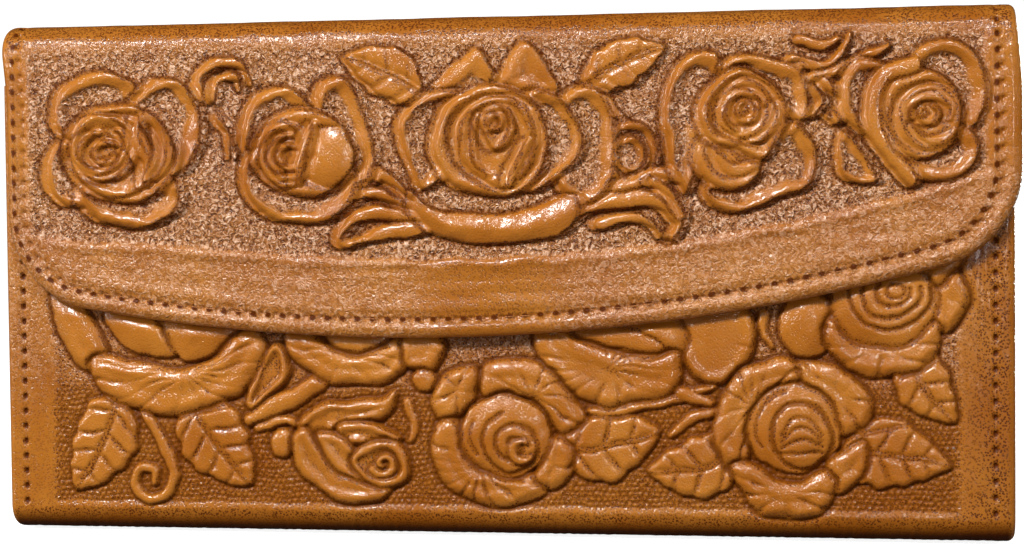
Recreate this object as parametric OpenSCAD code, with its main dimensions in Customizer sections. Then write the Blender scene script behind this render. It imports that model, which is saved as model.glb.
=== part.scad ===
// Tooled leather clutch wallet: a folded leather cover with a front flap, side gussets,
// card pockets and a zipped coin pocket, closed by a press stud.
// It stands on its bottom fold. X is the width, -Y the front and +Z up, in millimetres.
// The origin is the middle of the flat bottom face.

/* [Body] */
// Width across the covers
body_w = 204; // [200:1:208]
// Height of the closed wallet
body_h = 104; // [102:1:106]
// Depth from the back face to the face of the front cover
body_t = 20; // [20:0.5:21]
// Height of the front cover's top edge
front_h = 92; // [90:1:94]
// Outer radius of the two folds along the bottom
bottom_r = 5; // [4.5:0.5:6]
// Outer radius of the two folds along the top
top_r = 7; // [6.5:0.5:8]

/* [Layers] */
// Thickness of the tooled outer leather
leather_t = 1.8; // [1.6:0.1:2]
// Thickness of the stiffening board or pad between leather and lining
core_t = 0.6; // [0.5:0.1:0.7]
// Thickness of the lining
lining_t = 0.6; // [0.5:0.1:0.7]
// Clearance left where a fold is split between two pieces
fold_gap = 0.15; // [0.1:0.05:0.3]

/* [Flap] */
// Space between the closed flap and the front cover
flap_gap = 0.6; // [0.6:0.1:1]
// Height of the flap's lowest point above the base
flap_low = 40; // [36:1:44]
// Radius of the long curve along the flap's lower edge
flap_curve_r = 400; // [360:10:440]
// Lean of that curve, which leaves the left corner hanging lower than the right
flap_lean = 2.5; // [0:0.5:3]
// Radius of the flap's two lower corners
flap_corner_r = 20; // [16:1:26]
// Height of the press stud above the base
stud_z = 53; // [52:1:56]

/* [Stitching] */
// Distance from one stitch to the next
stitch_pitch = 3.1; // [3:0.1:3.6]
// Length of thread that shows in one stitch
stitch_len = 2.1; // [1.8:0.1:2.4]
// Distance from the seam to the leather's edge
seam_inset = 3.8; // [3.5:0.1:4.5]

/* [Pockets] */
// Depth of the gusset's inward pleat
pleat_depth = 18; // [16:1:20]
// Height of the coin pocket's open edge
coin_h = 74; // [70:1:76]
// Height of the tallest card pocket
card_h = 70; // [66:1:74]
// Drop from one card pocket's edge to the next
card_step = 12; // [10:1:13]
// Distance that the zip's slider travels
zip_travel = 120; // [100:2:124]
// Length of the zip's pull tab
pull_len = 16; // [12:1:17]

/* [Hidden] */
$fn = 64;

TAN = [0.72, 0.40, 0.13];
DARK_TAN = [0.55, 0.28, 0.08];
BOARD_GREY = [0.55, 0.52, 0.46];
LINING = [0.42, 0.23, 0.10];
THREAD = [0.30, 0.15, 0.06];
BRASS = [0.80, 0.64, 0.32];
STEEL = [0.75, 0.75, 0.77];

wall_t = leather_t + core_t + lining_t;
depth = body_t + flap_gap + wall_t;
y_back = depth / 2;
y_front = y_back - body_t;
y_flap = -depth / 2;
y_flap_in = y_flap + wall_t;
back_in = y_back - wall_t;
front_in = y_front + wall_t;
y_mid = (back_in + front_in) / 2;

// Centres of the folds, as [y, z]
fold_bottom_front = [y_front + bottom_r, bottom_r];
fold_bottom_back = [y_back - bottom_r, bottom_r];
fold_top_back = [y_back - top_r, body_h - top_r];
fold_top_front = [y_flap + top_r, body_h - top_r];
reach = 14; // longer than any fold radius

lining_w = body_w - 5;
board_w = body_w - 10;
pocket_w = body_w - 25;
slip_t = 0.7;
card_t = 0.6;
card_gap = 0.1;
card_stack = 4 * (card_t + card_gap);
edge_x = body_w / 2 - 1.5;
pleat_x = edge_x - pleat_depth;
gusset_t = 0.8;
gusset_flange = 6;
gusset_z = [8, 88];
gusset_slack = 0.2; // half the gap between the two leaves at the pleat
board_z = bottom_r + 3;
coin_w = 2 * (pleat_x - 0.7);

stitch_w = 0.6;
stitch_h = 0.25;
seam_x = body_w / 2 - seam_inset;

// Flap outline: vertical sides, a corner arc at each and one long arc, all tangent.
// Angles are measured from straight down, and side is -1 for left and 1 for right.
flap_half = body_w / 2;
flap_centre = [-flap_curve_r * sin(flap_lean), flap_low + flap_curve_r];
function corner_angle(side) =
    asin((side * (flap_half - flap_corner_r) - flap_centre.x) / (flap_curve_r - flap_corner_r));
function corner_centre(side) = let (a = corner_angle(side))
    flap_centre + (flap_curve_r - flap_corner_r) * [sin(a), -cos(a)];
fold_z = body_h - top_r;

// Rivet of the press stud, through the front cover
rivet_r = 1.5;
rivet_flange_r = 5.2;

// ---------- shared shapes ----------

// Sweeps a [y, z] outline across the width
module along_x(w, x = 0) {
    translate([x - w / 2, 0, 0]) rotate([90, 0, 90]) linear_extrude(w) children();
}

// Sweeps an [x, z] outline from y towards the front by t
module along_y(y, t) {
    translate([0, y, 0]) rotate([90, 0, 0]) linear_extrude(t) children();
}

// A flat panel, w wide, from y0 to y1 and z0 to z1
module panel(w, y0, y1, z0, z1, x = 0) {
    translate([x - w / 2, y0, z0]) cube([w, y1 - y0, z1 - z0]);
}

// A disc or drilled disc on the stud's axis, from y0 to y1
module stud_disc(r, y0, y1, bore = 0) {
    translate([0, y1, stud_z]) rotate([90, 0, 0]) difference() {
        cylinder(r = r, h = y1 - y0);
        if (bore > 0) translate([0, 0, -1]) cylinder(r = bore, h = y1 - y0 + 2);
    }
}

// The body's outline inset by o: two rounded corners below, open above
module cup_2d(o, top) {
    r = bottom_r - o;
    translate([y_front + o, bottom_r]) square([body_t - 2 * o, top - bottom_r]);
    translate([y_front + bottom_r, o]) square([body_t - 2 * bottom_r, r]);
    translate(fold_bottom_front) circle(r);
    translate(fold_bottom_back) circle(r);
}

// The outline under the flap inset by o: two rounded corners above
module cap_2d(o) {
    r = top_r - o;
    translate([y_flap + top_r, fold_z]) square([depth - 2 * top_r, r]);
    translate(fold_top_back) circle(r);
    translate(fold_top_front) circle(r);
}

module cup_layer_2d(o, t, top) {
    difference() {
        cup_2d(o, top);
        cup_2d(o + t, top + 1);
    }
}

module cap_layer_2d(o, t) {
    difference() {
        cap_2d(o);
        cap_2d(o + t);
        translate([y_flap, fold_z - top_r]) square([depth, top_r]);
    }
}

// Which part of each layer belongs to which moving piece
module root_zone_2d() {
    polygon([fold_bottom_front, fold_bottom_front - [reach, reach], [y_back + 1, -reach],
        [y_back + 1, fold_z], [fold_bottom_front.x, fold_z]]);
}

module front_zone_2d() {
    c = fold_bottom_front + [0, fold_gap];
    polygon([c, c - [reach, reach], [c.x - reach, front_h], [c.x, front_h]]);
}

module root_top_zone_2d() {
    polygon([fold_top_back, fold_top_back + [reach, reach], fold_top_back + [reach, 0]]);
}

module strip_zone_2d() {
    up = [0, fold_gap];
    polygon([fold_top_back + up, fold_top_back + up + [reach, reach],
        fold_top_front + up + [-reach, reach], fold_top_front + up]);
}

module flap_zone_2d() {
    polygon([fold_top_front, fold_top_front + [-reach, reach], fold_top_front - [reach, 0]]);
}

// Layers of the back, the front, the strip over the top and the fold of the flap
module back_layer(w, o, t) {
    along_x(w) {
        intersection() {
            cup_layer_2d(o, t, fold_z);
            root_zone_2d();
        }
        intersection() {
            cap_layer_2d(o, t);
            root_top_zone_2d();
        }
    }
}

module front_layer(w, o, t) {
    along_x(w) intersection() {
        cup_layer_2d(o, t, front_h);
        front_zone_2d();
    }
}

module strip_layer(w, o, t) {
    along_x(w) intersection() {
        cap_layer_2d(o, t);
        strip_zone_2d();
    }
}

module flap_fold_layer(w, o, t) {
    along_x(w) intersection() {
        cap_layer_2d(o, t);
        flap_zone_2d();
    }
}

// The flap's flat outline inset by d, from the fold down, as [x, z] points
arc_steps = 24;
function arc(c, r, a0, a1, n) = [
    for (i = [0:n]) let (a = a0 + (a1 - a0) * i / n) c + r * [sin(a), -cos(a)]
];
function flap_outline(d) = concat(
    [[-flap_half + d, fold_z]],
    arc(corner_centre(-1), flap_corner_r - d, -90, corner_angle(-1), arc_steps),
    arc(flap_centre, flap_curve_r - d, corner_angle(-1), corner_angle(1), arc_steps),
    arc(corner_centre(1), flap_corner_r - d, corner_angle(1), 90, arc_steps),
    [[flap_half - d, fold_z]]
);

module flap_panel(o, t, d) {
    along_y(y_flap + o + t, t) polygon(flap_outline(d));
}

// ---------- stitching ----------

// One stitch on a face that looks towards -Y, lying along a direction in the XZ plane
module stitch_y(x, y, z, angle = 90) {
    translate([x, y - stitch_h / 2, z]) rotate([0, -angle, 0])
        cube([stitch_len, stitch_h, stitch_w], center = true);
}

// A straight vertical seam on a face that looks towards -Y
module seam_down(x, y, z0, z1) {
    n = floor((z1 - z0) / stitch_pitch);
    for (i = [0:n - 1]) stitch_y(x, y, z0 + (i + 0.5) * stitch_pitch);
}

// A straight level seam on a face that looks towards -Y
module seam_level(y, z, x0, x1) {
    n = floor((x1 - x0) / stitch_pitch);
    for (i = [0:n - 1]) stitch_y(x0 + (i + 0.5) * stitch_pitch, y, z, 0);
}

// A seam round an arc on the flap's face, from angle a0 to a1 measured from straight down
module seam_arc(c, r, a0, a1) {
    n = round(r * (a1 - a0) * PI / 180 / stitch_pitch);
    for (i = [0:n - 1]) {
        a = a0 + (a1 - a0) * (i + 0.5) / n;
        stitch_y(c.x + r * sin(a), y_flap, c.y - r * cos(a), a);
    }
}

// ---------- back ----------

module back_cover() color(TAN) back_layer(body_w, 0, leather_t);

module back_board() color(BOARD_GREY)
    panel(board_w, back_in + lining_t, back_in + lining_t + core_t, board_z, fold_z - 2);

module back_lining() color(LINING) back_layer(lining_w, leather_t + core_t, lining_t);

module back_stitching() color(THREAD)
    for (side = [-1, 1]) mirror([0, 1, 0])
        seam_down(side * seam_x, -y_back, bottom_r + 1, fold_z - 1);

// ---------- front ----------

module front_cover() color(TAN) difference() {
    front_layer(body_w, 0, leather_t);
    stud_disc(rivet_r + 0.1, y_front - 1, front_in);
}

module front_board() color(BOARD_GREY) difference() {
    panel(board_w, y_front + leather_t, y_front + leather_t + core_t, board_z, front_h - 3);
    stud_disc(rivet_flange_r + 0.2, y_front, front_in);
}

module front_lining() color(LINING) front_layer(lining_w, leather_t + core_t, lining_t);

module front_stitching() color(THREAD)
    for (side = [-1, 1]) seam_down(side * seam_x, y_front, bottom_r + 1, front_h - 1);

module slip_pocket() color(LINING)
    panel(pocket_w, front_in, front_in + slip_t, bottom_r + 1, card_h - 4);

// ---------- top ----------

module top_strip() color(TAN) strip_layer(body_w, 0, leather_t);

module top_lining() color(LINING) strip_layer(lining_w, leather_t + core_t, lining_t);

module top_stitching() color(THREAD)
    for (side = [-1, 1], i = [-1:1])
        translate([side * seam_x, i * stitch_pitch, body_h + stitch_h / 2])
            cube([stitch_w, stitch_len, stitch_h], center = true);

// ---------- flap ----------

// The stud's socket half sits in a recess behind the flap's leather, and is hidden from outside
socket_r = 5.6;
socket_depth = 1.6;
socket_back_t = 0.2;
cap_r = 6;
cap_t = 0.5;
stud_clearance = 0.1;
socket_seat = y_flap_in - socket_depth;

module flap_cover() color(TAN) difference() {
    union() {
        flap_fold_layer(body_w, 0, leather_t);
        flap_panel(0, leather_t, 0);
    }
    stud_disc(cap_r + stud_clearance, socket_seat - cap_t, y_flap_in);
}

module flap_pad() color(BOARD_GREY) difference() {
    intersection() {
        flap_panel(leather_t, core_t, 3);
        panel(body_w, y_flap, y_flap_in, 0, fold_z - 4);
    }
    stud_disc(cap_r + stud_clearance, y_flap, y_flap_in);
}

module flap_lining() color(LINING) difference() {
    union() {
        flap_fold_layer(lining_w, leather_t + core_t, lining_t);
        flap_panel(leather_t + core_t, lining_t, 2.5);
    }
    stud_disc(socket_r + stud_clearance, y_flap, y_flap_in + 1);
}

module flap_stitching() color(THREAD) {
    seam_r = flap_corner_r - seam_inset;
    for (side = [-1, 1]) seam_down(side * seam_x, y_flap, corner_centre(side).y, fold_z - 1);
    seam_arc(corner_centre(-1), seam_r, -90, corner_angle(-1));
    seam_arc(flap_centre, flap_curve_r - seam_inset, corner_angle(-1), corner_angle(1));
    seam_arc(corner_centre(1), seam_r, corner_angle(1), 90);
}

// ---------- press stud ----------

socket_bore = 3.4;
ball_r = 2.6;
ball_base_r = 4.8;
ball_base_t = 0.4;
ball_h = 1.3;

module stud_cap() color(BRASS) stud_disc(cap_r, socket_seat - cap_t, socket_seat);

module stud_socket() color(BRASS) {
    stud_disc(socket_r, socket_seat, socket_seat + socket_back_t);
    stud_disc(socket_r, socket_seat + socket_back_t, y_flap_in, socket_bore);
}

module stud_ball() color(BRASS) {
    stud_disc(ball_base_r, y_front - ball_base_t, y_front);
    stud_disc(ball_r, y_front - ball_base_t - ball_h, y_front - ball_base_t);
}

module stud_rivet() color(BRASS) {
    stud_disc(rivet_r, y_front, y_front + leather_t);
    stud_disc(rivet_flange_r, y_front + leather_t, y_front + leather_t + core_t);
}

// ---------- gussets ----------

// One leaf for the right side and the back cover: a flange on the cover, a fold at the edge,
// and a sloping leaf that ends at the pleat
module gusset_leaf() {
    rise = gusset_z[1] - gusset_z[0];
    translate([0, 0, gusset_z[0]]) linear_extrude(rise) polygon([
        [edge_x, back_in],
        [edge_x - gusset_flange, back_in],
        [edge_x - gusset_flange, back_in - gusset_t],
        [edge_x - 3, back_in - gusset_t],
        [pleat_x, y_mid + gusset_slack + gusset_t * 1.1],
        [pleat_x, y_mid + gusset_slack],
        [edge_x, back_in - 1.5 * gusset_t]
    ]);
}

// The same leaf turned to face the front cover
module gusset_leaf_front() {
    translate([0, 2 * y_mid, 0]) mirror([0, 1, 0]) gusset_leaf();
}

module gusset_right_back() color(DARK_TAN) gusset_leaf();

module gusset_right_front() color(DARK_TAN) gusset_leaf_front();

module gusset_left_back() color(DARK_TAN) mirror([1, 0, 0]) gusset_leaf();

module gusset_left_front() color(DARK_TAN) mirror([1, 0, 0]) gusset_leaf_front();

// ---------- card pockets ----------

// Pocket k, counted from the tallest, which lies against the back lining
function card_face(k) = back_in - k * (card_t + card_gap) - card_t - card_gap / 2;

module card_pocket(k) color(LINING)
    panel(pocket_w, card_face(k), card_face(k) + card_t, bottom_r + 1, card_h - k * card_step);

// The seam between the two columns of card pockets, stepping forward with each pocket
module card_stitching() color(THREAD) {
    for (k = [0:2])
        seam_down(0, card_face(k), card_h - (k + 1) * card_step + 0.6, card_h - k * card_step - 1);
    seam_down(0, card_face(3), bottom_r + 2, card_h - 3 * card_step - 1);
}

// ---------- coin pocket and zip ----------

coin_t = 5.2;
coin_wall = 0.9;
coin_low = wall_t + 1.5;
coin_r = 2.4;
// The coin pocket hangs just in front of the card pockets, which leaves the room for notes
// between it and the slip pocket
coin_gap = 0.5;
coin_y = back_in - card_stack - stitch_h - coin_gap - coin_t / 2;
zip_z = coin_h - 0.8;
zip_x = zip_travel / 2;
chain_half = zip_x + 5;
tooth_pitch = 2;
tooth_y = [0.3, 1.1];
tooth_h = 1.4;
tape_t = 0.4;
pull_z = coin_h + 2.2;
pull_t = 0.8;
pull_w = 4.4;

module coin_outline_2d(o) {
    r = coin_r - o;
    half = coin_t / 2;
    translate([coin_y - half + o, coin_low + coin_r])
        square([coin_t - 2 * o, coin_h - coin_low - coin_r]);
    translate([coin_y - half + coin_r, coin_low + o]) square([coin_t - 2 * coin_r, coin_r - o]);
    for (side = [-1, 1]) translate([coin_y + side * (half - coin_r), coin_low + coin_r]) circle(r);
}

module coin_pocket() color(DARK_TAN) along_x(coin_w) difference() {
    coin_outline_2d(0);
    coin_outline_2d(coin_wall);
}

module coin_pocket_sides() color(DARK_TAN)
    for (side = [-1, 1])
        panel(1, coin_y - coin_t / 2 + coin_wall, coin_y + coin_t / 2 - coin_wall,
            coin_low + coin_r, zip_z - 2, side * (coin_w / 2 - 0.5));

module coin_stitching() color(THREAD) {
    y = coin_y - coin_t / 2;
    seam_level(y, coin_h - 3, -coin_w / 2 + 5, coin_w / 2 - 5);
    for (side = [-1, 1]) seam_down(side * (coin_w / 2 - 3), y, coin_low + 4, coin_h - 5);
}

// A strip of tape from each wall of the pocket in to the teeth
module zip_tapes() color(LINING) {
    tape_w = coin_t / 2 - coin_wall - tooth_y[1];
    for (side = [-1, 1])
        translate([0, coin_y + side * (tooth_y[1] + tape_w / 2), zip_z])
            cube([coin_w - 4, tape_w, tape_t], center = true);
}

module zip_tooth_row(side, shift) {
    n = floor(2 * chain_half / tooth_pitch);
    for (i = [0:n - 1])
        translate([-chain_half + (i + 0.5) * tooth_pitch + shift,
            coin_y + side * (tooth_y[0] + tooth_y[1]) / 2, zip_z])
            cube([tooth_pitch * 0.55, tooth_y[1] - tooth_y[0], tooth_h], center = true);
}

module zip_teeth_front() color(BRASS) zip_tooth_row(-1, 0);

module zip_teeth_back() color(BRASS) zip_tooth_row(1, tooth_pitch / 2);

// Two stops at the closed end, and one that joins the rows at the open end
module zip_stops() color(BRASS) {
    for (side = [-1, 1])
        translate([chain_half + 1.6, coin_y + side * (tooth_y[0] + tooth_y[1]) / 2, zip_z])
            cube([1.4, tooth_y[1] - tooth_y[0], tooth_h + 0.4], center = true);
    translate([-chain_half - 1.6, coin_y, zip_z])
        cube([1.4, 2 * tooth_y[1], tooth_h + 0.4], center = true);
}

slider_len = 7;
plate_t = 0.7;
plate_gap = 0.2;
pin_r = 0.6;
pin_clearance = 0.08;
lug_w = 2.6;
lug_t = 1.6;

// A block centred on the zip in x and y, from z0 to z1
module zip_block(w, t, z0, z1) {
    translate([zip_x - w / 2, coin_y - t / 2, z0]) cube([w, t, z1 - z0]);
}

// Two plates joined by a post between the rows of teeth, with a drilled lug for the pull
module zip_slider() color(BRASS) difference() {
    top_z = coin_h + plate_gap;
    low_z = zip_z - tooth_h / 2 - 1;
    union() {
        zip_block(slider_len, 4.6, top_z, top_z + plate_t);
        zip_block(slider_len, 3, low_z, low_z + plate_t);
        zip_block(3, 0.44, low_z + plate_t / 2, top_z + plate_t / 2);
        zip_block(lug_w, lug_t, top_z + plate_t / 2, pull_z);
        translate([zip_x, coin_y + lug_t / 2, pull_z]) rotate([90, 0, 0])
            cylinder(r = lug_w / 2, h = lug_t);
    }
    translate([zip_x, coin_y + lug_t, pull_z]) rotate([90, 0, 0])
        cylinder(r = pin_r + pin_clearance, h = 2 * lug_t);
}

// The pull tab: two ears on a pin, joined to a flat tab with a round end and a hole in it
ear_w = 1.2;
ear_len = 3.2;
tab_hole_r = 0.9;

module zip_pull() color(STEEL) translate([zip_x, coin_y, pull_z]) {
    end_x = -pull_len + pull_w / 2;
    translate([0, pull_w / 2, 0]) rotate([90, 0, 0]) cylinder(r = pin_r, h = pull_w);
    for (side = [-1, 1])
        translate([-ear_len, side * (pull_w - ear_w) / 2 - ear_w / 2, -pull_t / 2])
            cube([ear_len, ear_w, pull_t]);
    difference() {
        union() {
            translate([end_x, -pull_w / 2, -pull_t / 2]) cube([-ear_len - end_x, pull_w, pull_t]);
            translate([end_x, 0, -pull_t / 2]) cylinder(r = pull_w / 2, h = pull_t);
        }
        translate([end_x, 0, -pull_t]) cylinder(r = tab_hole_r, h = 2 * pull_t);
    }
}

back_cover();
back_board();
back_lining();
back_stitching();
front_cover();
front_board();
front_lining();
front_stitching();
slip_pocket();
top_strip();
top_lining();
top_stitching();
flap_cover();
flap_pad();
flap_lining();
flap_stitching();
stud_cap();
stud_socket();
stud_ball();
stud_rivet();
gusset_left_back();
gusset_left_front();
gusset_right_back();
gusset_right_front();
card_pocket(0);  // card_pocket_1
card_pocket(1);  // card_pocket_2
card_pocket(2);  // card_pocket_3
card_pocket(3);  // card_pocket_4
card_stitching();
coin_pocket();
coin_pocket_sides();
coin_stitching();
zip_tapes();
zip_teeth_front();
zip_teeth_back();
zip_stops();
zip_slider();
zip_pull();
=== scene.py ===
"""Looks for the tooled leather clutch wallet: outer leather with its pressed pattern, linings, pockets,
gussets, thread and metal parts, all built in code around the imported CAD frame.

Lengths below are in millimetres unless a name or comment says otherwise; MM turns them into metres.
X is the width, -Y the front and +Z up, with the origin in the middle of the flat bottom face."""
import math

import bpy
import numpy as np
from mathutils import Matrix, Vector


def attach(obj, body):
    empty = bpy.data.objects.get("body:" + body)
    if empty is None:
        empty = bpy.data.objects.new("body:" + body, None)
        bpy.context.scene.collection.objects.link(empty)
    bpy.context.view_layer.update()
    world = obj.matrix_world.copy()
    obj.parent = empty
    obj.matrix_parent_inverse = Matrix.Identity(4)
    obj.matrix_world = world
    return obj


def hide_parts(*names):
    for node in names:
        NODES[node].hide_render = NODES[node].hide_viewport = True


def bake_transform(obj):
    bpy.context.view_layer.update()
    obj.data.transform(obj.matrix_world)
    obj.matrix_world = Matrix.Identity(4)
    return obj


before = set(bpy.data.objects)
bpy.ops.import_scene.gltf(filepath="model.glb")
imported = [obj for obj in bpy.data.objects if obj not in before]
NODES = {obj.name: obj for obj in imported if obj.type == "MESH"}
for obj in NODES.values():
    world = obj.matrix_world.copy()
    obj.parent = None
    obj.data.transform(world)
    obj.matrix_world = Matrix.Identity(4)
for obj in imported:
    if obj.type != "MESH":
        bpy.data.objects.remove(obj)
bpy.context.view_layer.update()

MM = 0.001

# Sizes shared with the CAD part
HALF_W = 102.0
BODY_H = 104.0
Y_BACK, Y_FRONT, Y_FLAP = 11.8, -8.2, -11.8
BOTTOM_R, TOP_R = 5.0, 7.0
FRONT_H = 92.0
LEATHER_T, CORE_T, LINING_T = 1.8, 0.6, 0.6
WALL_T = LEATHER_T + CORE_T + LINING_T
FLAP_ARC, FLAP_R = (-17.45, 440.0), 400.0
CORNER_R = 20.0
STUD_Z = 53.0
PITCH, SEAM_IN = 3.1, 3.8
# Neighbouring holes further apart than this many stitches belong to different seams
SEAM_BREAK = 1.5
# Awl hole: half length along the seam, half width across it, and depth
HOLE_LONG, HOLE_WIDE, HOLE_DEEP = 0.66, 0.47, 0.6
# Thread: radius, how far its ends lie under the surface, and how far it arches up between them
THREAD_R, THREAD_SINK, THREAD_ARCH = 0.2, 0.36, 0.3
# Stud socket's recess in the flap's lining, and the half width of the finer mesh columns round it
RECESS_R, STUD_ZONE = 6.0, 9.0
# How far the flap hangs to the right of the body, and how much narrower the top is on its left side
FLAP_OFFSET, TOP_NARROW = 1.15, 0.9
# Lowest and highest spots of the patterns on the unfolded leather, which goes on over the folds
FLAP_SPAN, FRONT_SPAN, BACK_SPAN = (37, 114), (-9, 93), (-9, 114)
# Mesh step of the plain back
BACK_STEP = 0.8
QUARTER = math.pi / 2


def smooth(a, b, x):
    """0 at a and before it, 1 at b and past it, with a soft turn at both ends."""
    t = np.clip((x - a) / (b - a), 0, 1)
    return t * t * (3 - 2 * t)


def bell(x, width, power=2):
    """1 in the middle, falling away past the width on both sides."""
    return np.exp(-(x / width) ** power)


# ---------- the flap's outline ----------

def corner_angle(side):
    return math.asin((side * (HALF_W - CORNER_R) - FLAP_ARC[0]) / (FLAP_R - CORNER_R))


def corner_centre(side):
    a, r = corner_angle(side), FLAP_R - CORNER_R
    return FLAP_ARC[0] + r * math.sin(a), FLAP_ARC[1] - r * math.cos(a)


def flap_edge(x, inset=0.0):
    """Height of the flap's lower edge at x: a long arc with a corner arc at each end, moved in by inset."""
    x = np.asarray(x, float)
    z = FLAP_ARC[1] - np.sqrt((FLAP_R - inset) ** 2 - (x - FLAP_ARC[0]) ** 2)
    for side in (-1, 1):
        cx, cz = corner_centre(side)
        past = side * x > side * (FLAP_ARC[0] + (FLAP_R - inset) * math.sin(corner_angle(side)))
        corner = cz - np.sqrt(np.clip((CORNER_R - inset) ** 2 - (x - cx) ** 2, 0, None))
        z = np.where(past, corner, z)
    return z


def flap_margin(x, z):
    """Distance inside the flap's outline."""
    margin = np.minimum(HALF_W - np.abs(x), FLAP_R - np.hypot(x - FLAP_ARC[0], z - FLAP_ARC[1]))
    for side in (-1, 1):
        cx, cz = corner_centre(side)
        a = corner_angle(side)
        beyond = side * ((x - cx) * math.cos(a) + (z - cz) * math.sin(a)) > 0
        in_corner = beyond & (z < cz)
        margin = np.where(in_corner, CORNER_R - np.hypot(x - cx, z - cz), margin)
    return margin


# ---------- outlines and curves of the pattern ----------

def lobe(cx, cz, rx, rz, tilt=0.0, ruffles=0, depth=0.08, count=44):
    """A closed oval, turned by tilt degrees, with an optional ruffled edge."""
    t = np.linspace(0, 2 * math.pi, count, endpoint=False)
    r = 1 + depth * np.cos(ruffles * t) if ruffles else 1 + 0 * t
    c, s = math.cos(math.radians(tilt)), math.sin(math.radians(tilt))
    x, z = rx * r * np.cos(t), rz * r * np.sin(t)
    return np.stack([cx + c * x - s * z, cz + s * x + c * z], 1)


def ring(*size):
    """A closed oval as a line that ends where it starts."""
    line = lobe(*size)
    return np.vstack([line, line[:1]])


def curve(points, closed=False, per=9):
    """A smooth curve through the points."""
    p = np.array(points, float)
    if closed:
        p = np.vstack([p[-1], p, p[0], p[1]])
    else:
        p = np.vstack([2 * p[0] - p[1], p, 2 * p[-1] - p[-2]])
    t = np.linspace(0, 1, per, endpoint=False)[:, None]
    parts = []
    for a, b, c, d in zip(p[:-3], p[1:-2], p[2:-1], p[3:]):
        parts.append(0.5 * (2 * b + (c - a) * t + (2 * a - 5 * b + 4 * c - d) * t ** 2
                            + (3 * b - a - 3 * c + d) * t ** 3))
    if not closed:
        parts.append(p[-2:-1])
    return np.vstack(parts)


def rounded(shape, closed=False):
    """A list of points turns into a smooth curve, and a finished outline or line stays as it is."""
    return curve(shape, closed) if isinstance(shape, list) else shape


def spiral(cx, cz, r0, r1, a0, turns, count=40):
    """Centre line of a scroll from radius r0 to r1, starting at a0 degrees."""
    t = np.linspace(0, 1, count)
    a = math.radians(a0) + 2 * math.pi * turns * t
    r = r0 + (r1 - r0) * t
    return np.stack([cx + r * np.cos(a), cz + r * np.sin(a)], 1)


def arc(cx, cz, rx, rz, a0, a1, count=18):
    """Part of an oval, from a0 to a1 degrees."""
    a = np.radians(np.linspace(a0, a1, count))
    return np.stack([cx + rx * np.cos(a), cz + rz * np.sin(a)], 1)


def inside_distance(x, z, outline):
    """Distance from each point to a closed outline, positive inside it."""
    best = np.full(x.shape, 1e9)
    inside = np.zeros(x.shape, bool)
    for (ax, az), (bx, bz) in zip(outline, np.roll(outline, -1, axis=0)):
        ex, ez = bx - ax, bz - az
        px, pz = x - ax, z - az
        t = np.clip((px * ex + pz * ez) / (ex * ex + ez * ez + 1e-12), 0, 1)
        best = np.minimum(best, (px - t * ex) ** 2 + (pz - t * ez) ** 2)
        if az != bz:
            crosses = (az > z) != (bz > z)
            inside ^= crosses & (px < ex * pz / ez)
    return np.where(inside, 1, -1) * np.sqrt(best)


def line_distance(x, z, line):
    """Distance from each point to an open line, and how far along it the nearest spot is, from 0 to 1."""
    best = np.full(x.shape, 1e9)
    along = np.zeros(x.shape)
    count = len(line) - 1
    for i in range(count):
        (ax, az), (bx, bz) = line[i], line[i + 1]
        ex, ez = bx - ax, bz - az
        px, pz = x - ax, z - az
        t = np.clip((px * ex + pz * ez) / (ex * ex + ez * ez + 1e-12), 0, 1)
        d = (px - t * ex) ** 2 + (pz - t * ez) ** 2
        near = d < best
        best = np.where(near, d, best)
        along = np.where(near, (i + t) / count, along)
    return np.sqrt(best), along


def blur(a, cells):
    """Softens an array by a Gaussian, cells wide."""
    reach = int(3 * cells) + 1
    k = np.exp(-0.5 * (np.arange(-reach, reach + 1) / cells) ** 2)
    k /= k.sum()
    for axis in (0, 1):
        pad = [(reach, reach) if i == axis else (0, 0) for i in (0, 1)]
        wide = np.pad(a, pad, mode="edge")
        size = a.shape[axis]
        a = sum(w * np.take(wide, range(i, i + size), axis) for i, w in enumerate(k))
    return a


def ripple(x, z, size, seed):
    """Smooth, repeatable waves between about -1 and 1, with features about size across."""
    rng = np.random.default_rng(seed)
    total = np.zeros(np.shape(x))
    for _ in range(7):
        a, f = rng.uniform(0, 2 * math.pi), rng.uniform(0.6, 1.5) * math.pi / size
        total = total + np.sin(f * (x * math.cos(a) + z * math.sin(a)) + rng.uniform(0, 6.3))
    return total / 4


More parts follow.
